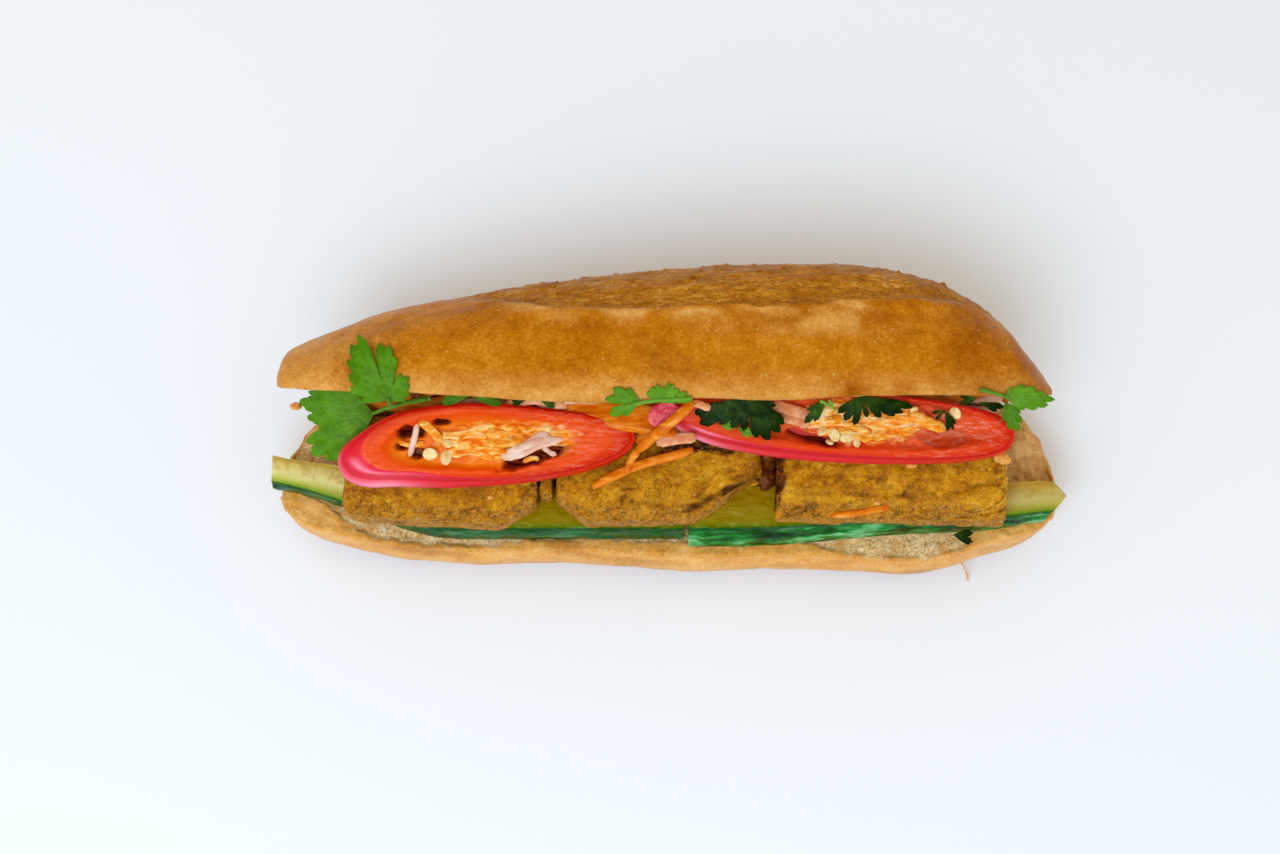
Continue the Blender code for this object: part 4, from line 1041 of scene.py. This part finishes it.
def pickles(carrot, radish, stained, core_look):
    rows = 120
    corners = ((-15, 25.6), (8, 25.6), (15.5, 32), (3.5, 46), (3.0, 46), (2.5, 33.0), (-15, 33.0))
    grid = []
    for at in np.linspace(-98, 97, rows):
        shift = 13.0 * smoothstep(-62, -128, at) + 3.0 * smoothstep(20, 99, at)
        end = smoothstep(0.86, 1.0, abs(at) / 98.0) * 0.5
        ring = []
        for (y0, z0), (y1, z1) in zip(corners, corners[1:] + corners[:1]):
            for f in np.arange(10) / 10:
                y, z = y0 + (y1 - y0) * f, z0 + (z1 - z0) * f
                y += shift * (y < -5)
                ring.append((at, 4.0 + (y - 4.0) * (1 - end), 30.0 + (z - 30.0) * (1 - end)))
        grid.append(ring)
    grid = np.array(grid, float)
    grid = grid + normals_of(grid) * (0.8 * Noise(41).layered(grid / np.array([7.0, 3.0, 3.0]), 2) - 0.6)[..., None]
    # The dark brown core is partly sauce-coloured shreds and partly painted shade in the gaps between the shreds.
    core = Piece("tone")
    core.add_rings(grid, tone=1.0)
    # Near-black lumps in the gap between the middle and right tofu slabs: painted shade.
    for k, (place, size, stretch) in enumerate((
        ((29.4, -12.6, 42.6), 3.4, (0.9, 1.4, 1.0)), ((29.0, -18.2, 40.4), 3.0, (1.0, 1.3, 0.9)),
    )):
        lump(core, place, size, 640 + k, 0.0, stretch)
    core.finish("pickle_core", core_look, ("pickle_heap",), "pickles")
    random = np.random.default_rng(7)
    orange, pale, peach = Piece("tone"), Piece("tone"), Piece("tone")
    for k in range(150):
        at = random.uniform(-96, 94)
        z = random.choice([random.uniform(35, 50), random.uniform(44, 53)])
        low, high = 2.2, inner_face_y(z) - 2.4
        if z > 48.5:
            low = -6.0
        y = random.uniform(low, max(high, low + 0.5))
        length, yaw = random.uniform(20, 42), random.normal(0, 0.22)
        pitch = random.normal(0, 0.08)
        path = []
        for f in (-0.5, -0.17, 0.17, 0.5):
            px = at + length * f * math.cos(yaw)
            pz = z + length * f * pitch + random.normal(0, 0.6)
            py = y + length * f * math.sin(yaw) + random.normal(0, 0.5)
            py = min(max(py, 2.2 if pz < 48.5 else -8.0), inner_face_y(pz) - 2.0)
            path.append((min(max(px, -100), 99), py, max(pz, 27.0)))
        heap = orange if random.random() < 0.72 else pale
        shred(heap, path, random.uniform(2.1, 3.0), k, random.uniform(0.5, 1.0))
    named = (
        ("carrot_strip_back", ((6.8, -2.0, 66.0), (2.0, -6.4, 65.4), (-3.8, -10.6, 62.4), (-9.2, -14.0, 55.6)), 3.0),
        (
            "carrot_strip_front",
            ((7.0, -12.6, 50.8), (0, -14.6, 50.0), (-8.5, -16.8, 49.4), (-16.6, -20.4, 49.0), (-22.3, -23.2, 48.6)),
            2.7,
        ),
        ("carrot_strip_right", ((47.2, -30.6, 43.6), (52, -30.6, 44.4), (58, -29.8, 44.6), (64.6, -28.6, 45.0)), 1.9),
    )
    for k, (name, path, width) in enumerate(named):
        single = Piece("tone")
        shred(single, path, width, 300 + k)
        single.finish(name + "_piece", carrot, (name,), "carrot")
    for k, (path, width, tone, heap) in enumerate((
        (((-1.0, -3.5, 57.0), (-5.5, -7.8, 55.5), (-9.8, -10.5, 53.0)), 2.6, 0.9, orange),
        (((-34, -2.6, 57.4), (-22, -3.6, 58.2), (-8, -5.0, 57.8), (0, -7.0, 57.0)), 8.4, 1.0, orange),
        (((-47.5, -2.0, 59.4), (-42, -0.2, 60.4), (-36, -0.2, 60.6), (-29.5, -1.6, 59.8)), 3.4, 1.0, peach),
        (((-38, -1.8, 58), (-29, 0.2, 59.5), (-19, 0.2, 60)), 2.6, 1.0, pale),
        (((-9.0, -13.0, 52.6), (-11.0, -15.6, 50.8), (-12.5, -19.4, 50.0)), 2.3, 1.0, orange),
        (((4.4, -2.6, 65.2), (8.0, -2.4, 65.4), (11.6, -3.6, 64.6)), 2.2, 1.0, peach),
        (((-3.8, -11.6, 55.6), (2.0, -10.6, 56.2), (7.6, -10.4, 57.0)), 3.4, 1.0, peach),
        (((-14, -4.4, 57.0), (-6, -7.4, 56.6), (2, -9.4, 56.0)), 3.0, 0.8, orange),
    )):
        shred(heap, path, width, 320 + k, tone, 0.35 if width > 3.2 else 0.8)
    orange.finish("carrot_shreds", carrot, slot="carrot")
    pale.finish("radish_shreds", radish, slot="radish")
    peach.finish("stained_radish_shreds", stained, slot="radish")


def radish_round(name, centre, radii, thickness, tilt, turn, look, seed):
    rows, columns = 30, 48
    t = np.linspace(0.02, np.pi - 0.02, rows)[:, None]
    angle = np.linspace(0, 2 * np.pi, columns, endpoint=False)[None, :]
    x = np.sin(t) * radii[0] * np.cos(angle)
    hump = signed_power(np.cos(t), 0.6) * thickness / 2 + thickness * 0.5 * (x / radii[0]) ** 2
    grid = np.stack([x, np.sin(t) * radii[1] * np.sin(angle), hump], axis=-1)
    grid = grid * (1.0 + 0.05 * Noise(seed)(grid / 3.0))[..., None]
    made = Piece()
    made.add_rings(turned(grid.reshape(-1, 3), centre, turn, tilt).reshape(grid.shape))
    made.finish(name + "_piece", look, (name,), "radish")


def herbs(look, crust):
    made = Herbs(crust)
    up, leaning = (0.0, -0.15, 1.0), (0.0, -0.46, 0.89)
    west, north, east, south = (-1, 0, 0), (0, 1, 0), (1, 0, 0), (0, -1, -0.4)
    # The tone after the lobes is low for leaves in the top half's shade, as painted shade, and high for lit leaves.
    for seed, (base, toward, over, lobes, tone, teeth, curl, on_crust) in enumerate((
        (
            (-86.0, -3.2, 55.6), (-1, 0.0, 0.0), leaning,
            ((-42, 11.7, 12), (-35, 15.2, 11), (-28, 17.6, 10), (-19, 20.0, 10), (-9, 21.8, 11), (3, 19.4, 11),
             (13, 16.8, 10), (23, 21.8, 11), (34, 22.8, 11), (45, 20.2, 10), (53, 16.4, 9)),
            0.78, 0.07, 0.004, False,
        ),
        (
            (-79.8, -3.4, 74.0), north, (0.0, -0.2, 1.0),
            ((-88, 5.2, 12), (-73, 6.6, 12), (-56, 7.4, 13), (-42, 8.8, 12), (-27, 8.4, 12), (-7, 12.6, 9), (1, 16.2, 9),
             (9, 17.0, 8), (25, 21.2, 9), (34, 20.0, 9), (44, 16.8, 10), (58, 13.8, 12), (71, 11.4, 12), (88, 7.8, 12)),
            0.76, 0.06, 0.003, True,
        ),
        ((-8.5, -4.9, 72.6), (-1, 0.05, -0.1), up,
         ((-42, 5.2, 14), (-22, 8.5, 14), (-3, 10.0, 12), (22, 9.2, 14), (38, 6.0, 12)), 0.78, 0.1, 0.01, True),
        ((-1.7, -5.0, 75.6), north, up,
         ((62, 5.6, 13), (46, 5.5, 13), (26, 5.2, 14), (8, 4.2, 13), (-12, 5.4, 13), (-29, 5.4, 13), (-50, 5.4, 14),
          (-69, 6.8, 13), (-82, 8.0, 9)), 0.86, 0.03, 0.008, True),
        ((23.1, -0.5, 65.0), south, up,
         ((-73, 16.6, 12), (-62, 16.4, 12), (-48, 11.8, 12), (-30, 10.2, 12), (-12, 9.8, 12), (10, 11.8, 12),
          (24, 13.6, 12), (40, 13.4, 12), (53, 12.4, 12), (72, 7.8, 12)), 0.14, 0.05, 0.006, False),
        ((14.0, -6.6, 60.4), (1, -0.22, -0.1), up, ((-22, 4.2, 12), (-4, 5.4, 12), (14, 4.6, 12)), 1.0, 0.25, 0.01, False),
        ((19.6, -8.0, 59.4), (1, -0.35, -0.2), up, ((-20, 4.4, 12), (-3, 5.6, 12), (14, 4.2, 12)), 1.0, 0.25, 0.01, False),
        ((55.2, 0.0, 65.0), south, up,
         ((-56, 8.4, 14), (-35, 8.6, 13), (-13, 8.7, 13), (14, 6.4, 13), (42, 8.4, 13), (59, 11.2, 10), (67, 13.0, 9),
          (78, 15.2, 9)), 0.12, 0.06, 0.006, False),
        ((45.0, -1.0, 64.4), (-0.75, -0.7, -0.3), up, ((-16, 6.2, 13), (2, 9.2, 12), (16, 7.0, 12)), 0.34, 0.1, 0.01, False),
        ((79.5, -3.4, 61.6), south, up,
         ((-80, 3.9, 16), (-46, 3.7, 14), (10, 6.2, 10), (24, 6.2, 10), (38, 5.0, 12)), 0.16, 0.08, 0.01, False),
        ((94.4, -3.0, 66.6), east, up,
         ((56, 3.6, 15), (34, 6.6, 13), (20, 9.4, 10), (10, 12.4, 8), (3, 15.2, 7), (-5, 13.0, 8), (-13, 10.0, 9),
          (-24, 6.6, 13)), 0.84, 0.05, 0.004, True),
        ((96.2, -1.8, 65.4), (0, -1, -0.5), up,
         ((0, 5.6, 13), (14, 8.6, 12), (25, 9.6, 11), (39, 8.0, 12), (54, 5.6, 13)), 0.7, 0.06, 0.008, False),
        ((88.2, -0.8, 65.4), (-1, -0.05, 0), up, ((-15, 5.2, 18), (14, 5.0, 18)), 0.32, 0.1, 0.01, False),
        ((88.8, -1.6, 64.4), (1, -0.24, -0.1), up, ((-12, 6.0, 12), (3, 7.4, 12)), 0.16, 0.1, 0.01, False),
        ((-57.6, 0.4, 63.6), west, up, ((-14, 7.8, 18), (12, 8.0, 18)), 0.62, 0.05, 0.01, False),
        ((-57.0, 0.3, 63.0), east, up, ((-12, 8.8, 16), (10, 9.0, 16)), 0.56, 0.07, 0.01, False),
        ((-37.3, -0.6, 62.6), (1, -0.1, 0), up, ((-18, 4.8, 22), (18, 4.6, 22)), 0.34, 0.14, 0.01, False),
        ((-41.0, -0.2, 62.4), (-1, -0.1, 0), up, ((-8, 5.0, 20), (14, 4.6, 18)), 0.14, 0.14, 0.01, False),
        ((84.4, -34.9, 34.9), (1, -0.15, 0.0), up, ((-14, 6.4, 18), (14, 6.0, 18)), 0.1, 0.14, 0.01, False),
    )):
        made.leaf(base, toward, over, lobes, 50 + 5 * seed, tone, teeth, curl, on_crust)
    for path, radius, tone, on_crust in (
        (((-68.9, -0.1, 63.0), (-76, -1.6, 63.4), (-82, -2.6, 60.5), (-86.6, -3.2, 56.0)), 0.8, 0.72, False),
        (((-70, -0.6, 63.6), (-75, -2.4, 67.5), (-78.6, -4.6, 72.5), (-79.8, -3.0, 74.6)), 0.7, 0.66, False),
        (((-12.8, -6.2, 71.0), (-8.5, -5.1, 73.0), (-5.7, -4.7, 74.0), (2.2, -4.2, 75.8), (6.2, -3.9, 76.0)), 0.7, 0.86, True),
        (((43.1, -1.4, 65.6), (45.2, -2.4, 65.0), (47.8, -3.9, 64.2)), 0.5, 1.0, False),
        (((45.6, -1.2, 65.6), (46.6, -2.4, 65.0), (46.8, -3.6, 64.6)), 0.4, 1.0, False),
        (((86.9, -1.1, 66.6), (91, -2.0, 66.8), (95.6, -3.0, 66.8)), 0.6, 0.7, True),
    ):
        made.stem(path, radius, tone, on_crust)
    made.piece.finish("coriander", look)


def bits(seed_look, pulp, radish, membrane, crumb_look, chilis):
    """What lies in and on the chili slices, and the small crumbs."""
    places = {name: (centre, math.radians(turn)) for name, centre, turn in chilis}

    def on(name, a, b, lift):
        centre, turn = places[name]
        return tuple(turned(np.array([[a, b, lift]]), centre, turn, CHILI_TILT)[0])

    seeds = Piece("tone")
    for k, (name, a, b, lift, size) in enumerate((
        ("left", -17.1, -3.1, 0.3, 2.1), ("left", -12.4, -4.3, 0.4, 2.2), ("left", -11.8, -0.2, 0.2, 1.4),
        ("right", -5.9, -2.4, 0.4, 1.5), ("right", -2.4, -3.1, 0.6, 2.0), ("right", 1.0, -3.6, 0.5, 1.9),
        ("right", 4.4, -5.2, 0.3, 1.3), ("right", -3.3, -5.6, -0.5, 1.2), ("right", 21.9, 3.4, 0.5, 1.9),
        ("right", 31.9, 5.6, 0.2, 1.8), ("right", 20.0, 5.6, 0.2, 1.2),
    )):
        disc_seed(seeds, on(name, a, b, lift), 0.42 + 0.3 * math.sin(k * 2.1), k * 1.3, size)
    seeds.finish("chili_seeds", seed_look, slot="chili")
    fibres = Piece("tone")
    chili_fibres(fibres, *places["left"], (-11, 20, -3.6, 3.6), 4, 201)
    chili_fibres(fibres, *places["right"], (-8, 22, -4.2, 5.6), 8, 202)
    for k, (name, width, path) in enumerate((
        ("left", 2.6, ((-19.8, 7.0, -0.4), (-16.4, 4.0, 0.3), (-13.6, 0.6, 0.1))),
        ("left", 1.6, ((-26.2, 0.6, -0.6), (-22.4, -0.4, -0.2), (-18.6, 0.2, -0.4))),
        ("left", 1.5, ((9.6, -6.6, -1.0), (12.4, -5.6, -0.6), (14.4, -6.0, -1.0))),
        ("right", 3.4, ((18.5, 4.6, 0.2), (24.0, 2.4, 0.6), (29.6, 0.4, 0.0))),
    )):
        shred(fibres, [on(name, *at) for at in path], width, 401 + k, 1.0, 0.6, frayed=0.35)
    fibres.finish("chili_pulp", pulp, slot="chili")
    pale = Piece("tone")
    for k, (name, width, flat, path) in enumerate((
        ("left", 1.9, 0.8, ((-20.2, 6.0, 0.2), (-21.4, 1.4, 0.3), (-23.0, -3.7, 0.0))),
        ("left", 3.0, 0.5, ((3.4, -4.4, 0.1), (8.6, -2.8, 0.5), (13.6, 0.2, 0.6), (17.4, 1.8, 0.2))),
        ("left", 2.6, 0.5, ((3.8, -5.2, 0.1), (9.4, -3.8, 0.6), (15.4, -1.0, 0.8), (21.6, 0.0, 0.2))),
        ("left", 2.2, 0.6, ((5.2, -3.2, 0.6), (10.4, -1.6, 1.2), (15.0, -0.2, 1.2), (19.0, 0.6, 0.5))),
        ("left", 1.5, 0.8, ((15.6, -2.0, -0.2), (17.2, -3.8, -0.7), (19.4, -5.0, -1.2))),
    )):
        shred(pale, [on(name, *at) for at in path], width, 411 + k, 1.0, flat, frayed=0.25)
    pale.finish("radish_in_chili", radish, slot="radish")
    flaps = Piece("tone")
    for k, path in enumerate((
        ((-21.0, 4.2, -0.2), (-15.4, 3.2, 0.2), (-10.0, 2.0, -0.2)),
        ((-18.4, 1.2, -0.3), (-14.0, 0.4, 0.1), (-9.6, -0.8, -0.3)),
    )):
        shred(flaps, [on("right", *at) for at in path], 3.4, 431 + k, 1.0, 0.35, frayed=0.4)
    flaps.finish("chili_membrane", membrane, slot="chili")
    crumbs = Piece("tone")
    for k, (place, size) in enumerate((
        ((70.9, -16.6, 48.6), 1.3), ((-109.6, 0.6, 50.4), 1.3), ((97.6, -14.9, 49.6), 1.8), ((-52.3, -26.0, 46.6), 0.7), ((61, -27.4, 45.6), 0.8),
    )):
        lump(crumbs, place, size, 600 + k, 1.0, (1.3, 0.9, 0.6))
    silk = curve_through(((88.6, -37.0, 9.5), (91.0, -39.2, 7.6), (92.9, -41.6, 3.6), (93.7, -43.2, 0.6)), 24)
    crumbs.add_rings(tube(silk, 0.28 * np.ones(24), 8), tone=1.0)
    crumbs.finish("crumbs", crumb_look, slot="crust")


# The stage

def studio():
    world = bpy.data.worlds.new("studio")
    world.use_nodes = True
    sky = world.node_tree.nodes["Background"]
    sky.inputs["Color"].default_value = (1.0, 0.93, 0.84, 1.0)
    sky.inputs["Strength"].default_value = 0.70
    bpy.context.scene.world = world
    mesh = bpy.data.meshes.new("table")
    reach = 4.0
    mesh.from_pydata([(-reach, -reach, 0), (reach, -reach, 0), (reach, reach, 0), (-reach, reach, 0)], [], [(0, 1, 2, 3)])
    top = Shader("table_top", 0.6, 0.15)
    mesh.materials.append(top.finish(top.mix(top.noise(900, 2), srgb(238, 243, 244), srgb(243, 248, 249))))
    table = bpy.data.objects.new("table", mesh)
    bpy.context.scene.collection.objects.link(table)
    light = bpy.data.lights.new("key", "AREA")
    light.shape = "DISK"
    light.size = 0.75
    light.energy = 8.2
    light.color = (0.87, 1.06, 1.35)
    lamp = bpy.data.objects.new("key", light)
    position = Vector((-0.28, -0.66, 1.15))
    lamp.location = position
    lamp.rotation_euler = (Vector((0, 0, 0.03)) - position).to_track_quat("-Z", "Y").to_euler()
    bpy.context.scene.collection.objects.link(lamp)
    bpy.context.scene.view_settings.view_transform = "Standard"


def camera():
    elevation, distance = math.radians(77.0), 0.646
    aim = Vector((-0.00825, -0.0005, 0.030))
    look = Vector((0.0, math.cos(elevation), -math.sin(elevation)))
    data = bpy.data.cameras.new("camera")
    data.lens = 60.0
    data.sensor_width = 36.0
    made = bpy.data.objects.new("camera", data)
    made.location = aim - look * distance
    made.rotation_euler = look.to_track_quat("-Z", "Y").to_euler()
    bpy.context.scene.collection.objects.link(made)
    bpy.context.scene.camera = made


def main():
    camera()
    studio()
    bread = bread_look()
    lower_half(bread)
    crust = upper_half(bread)
    hinge_strip(bread)
    peel = cucumber_look()
    cucumber(
        "cucumber_left", -119.0, 4.6, lambda x: -33.0 + 15.0 * smoothstep(-62, -128, x), lambda x: 1.6 - 1.3 * smoothstep(-70, -92, x),
        lambda x: 13.0 - 4.5 * smoothstep(-80, -119, x), True, peel, 71,
    )
    cucumber(
        "cucumber_right", 6.0, 119.0, lambda x: -32.8 + 2.6 * smoothstep(20, 75, x) + 2.6 * smoothstep(85, 122, x),
        lambda x: 4.0 - 2.2 * smoothstep(20, 118, x), lambda x: 13.0 - 3.2 * smoothstep(70, 118, x), False, peel, 73,
    )
    fried = tofu_look()
    for name, (x, y), size, turn, seed, corners, slope, creases, browned, cuts in (
        (
            "tofu_left", (-67.0, -17.5), (57.0, 31, 13.0), -3, 81, ((1, 0.42, 0.42), (-1, 0.15, 0.2)), 0.8,
            ((27, -2, 23, -9, 1.6, 0.9), (13, -8, 16, -13, 0.9, 0.6), (-20, -6, -14, -12, 0.5, 0.7)), (), 72,
        ),
        (
            "tofu_middle", (-3.0, -17.0), (61.0, 31, 13.0), 2, 88, ((1, 0.8, 0.75), (-1, 0.45, 0.35)), 1.6,
            (
                (8, -12.5, 29, -3.0, 1.5, 0.9), (-1, -4, 1, -13, 0.8, 0.8), (14, -3, 12, -9, 0.8, 0.7),
                (-14, -9, 2, -11, 0.6, 0.7),
            ),
            ((20.0, 7.5, 14.0, 4.2), (6.0, 5.5, 8.0, 2.4)), 72,
        ),
        (
            "tofu_right", (65.7, -16.6), (68.0, 31, 13.0), -1, 95, (), 2.6,
            ((-32, -8.0, 10, -9.0, 0.5, 0.7), (14, -9, 30, -4, 0.5, 0.7)), ((-33.5, 0.0, 2.4, 12.0),), 72,
        ),
        ("tofu_chunk", (-36.2, -16.5), (4.4, 18, 10.4), 0, 102, (), 0.0, (), (), 30),
    ):
        centre = (x, y, TOFU_BASE_Z + size[2] / 2)
        tofu(name, centre, size, math.radians(turn), seed, corners, slope, creases, browned, fried, cuts)
    left_look = chili_look("chili_left", (206, 34, 4), (226, 70, 0), (236, 118, 12), (210, 34, 14))
    right_look = chili_look("chili_right", (212, 40, 16), (222, 64, 16), (228, 90, 40), (214, 42, 28))
    chili(
        "chili_left", (-52.3, -11.6, 57.5), (42.0, 11.5), 0.17, -3.6, 0.0, (-2.0, -0.8, 27.0, 7.0), (2.8, math.radians(212)),
        math.radians(2), ((4.5, -0.2, 19.0, 5.4),), ((-23.6, 3.4, 2.7, 2.0, 0.3), (-19.6, 3.0, 1.4, 1.6),
        (-20.6, -3.2, 2.4, 1.6, 0.1), (-25.0, -1.0, 2.0, 1.3), (-13.4, 6.0, 2.8, 1.1), (13.0, -5.5, 10.2, 1.9, 0.28)),
        (), 1.3, (-32.0, 10.0, 1.0), left_look, 111,
    )
    chili(
        "chili_right", (50.3, -6.6, 57.9), (49.6, 9.6), 0.0, 0.0, 0.7, (4.0, 1.0, 41.0, 7.2), (1.6, math.radians(240)),
        math.radians(-4), ((6.0, 1.4, 17.5, 6.4),), ((-8.5, -5.0, 7.6, 1.4, -0.2),), ((30.0, -2.6, 8.6, 2.8, 0.05, 1.5),),
        2.8, (-44.0, 10.0, 1.0), right_look, 121,
    )
    pulp = pulp_look("chili_pulp", (232, 116, 2), (250, 160, 36), (255, 220, 140), 0.22, 1.2)
    carrot = pulp_look("carrot", (204, 92, 0), (226, 122, 8), (242, 158, 54), 0.28, 2.2)
    radish = plain_look("radish", (240, 204, 180), (226, 172, 144), 4.0, 0.26)
    pink = plain_look("radish_pink", (252, 122, 128), (216, 52, 86), 1.8, 0.22)
    core = pulp_look("pickle_core", (70, 22, 2), (116, 46, 2), (164, 80, 10), 0.36)
    stained = plain_look("radish_stained", (240, 178, 130), (222, 138, 86), 3.0, 0.24)
    pickles(carrot, radish, stained, core)
    radish_round("radish_curl", (-1.6, -4.6, 60.9), (4.8, 3.6), 1.8, math.radians(8), math.radians(20), pink, 131)
    radish_round("radish_slice", (-38.0, 1.7, 58.5), (8.8, 2.0), 1.4, math.radians(10), 0.0, radish, 132)
    herbs(leaf_look(), crust)
    seed_look = plain_look("chili_seed", (246, 220, 160), (230, 186, 106), 1.2, 0.3)
    crumb_look = plain_look("crumb_bit", (236, 176, 90), (214, 140, 50), 1.0, 0.6)
    bits(seed_look, pulp, radish, stained, crumb_look, (
        ("left", (-52.3, -11.6, 57.5), 2), ("right", (50.3, -6.6, 57.9), -4)
    ))


main()
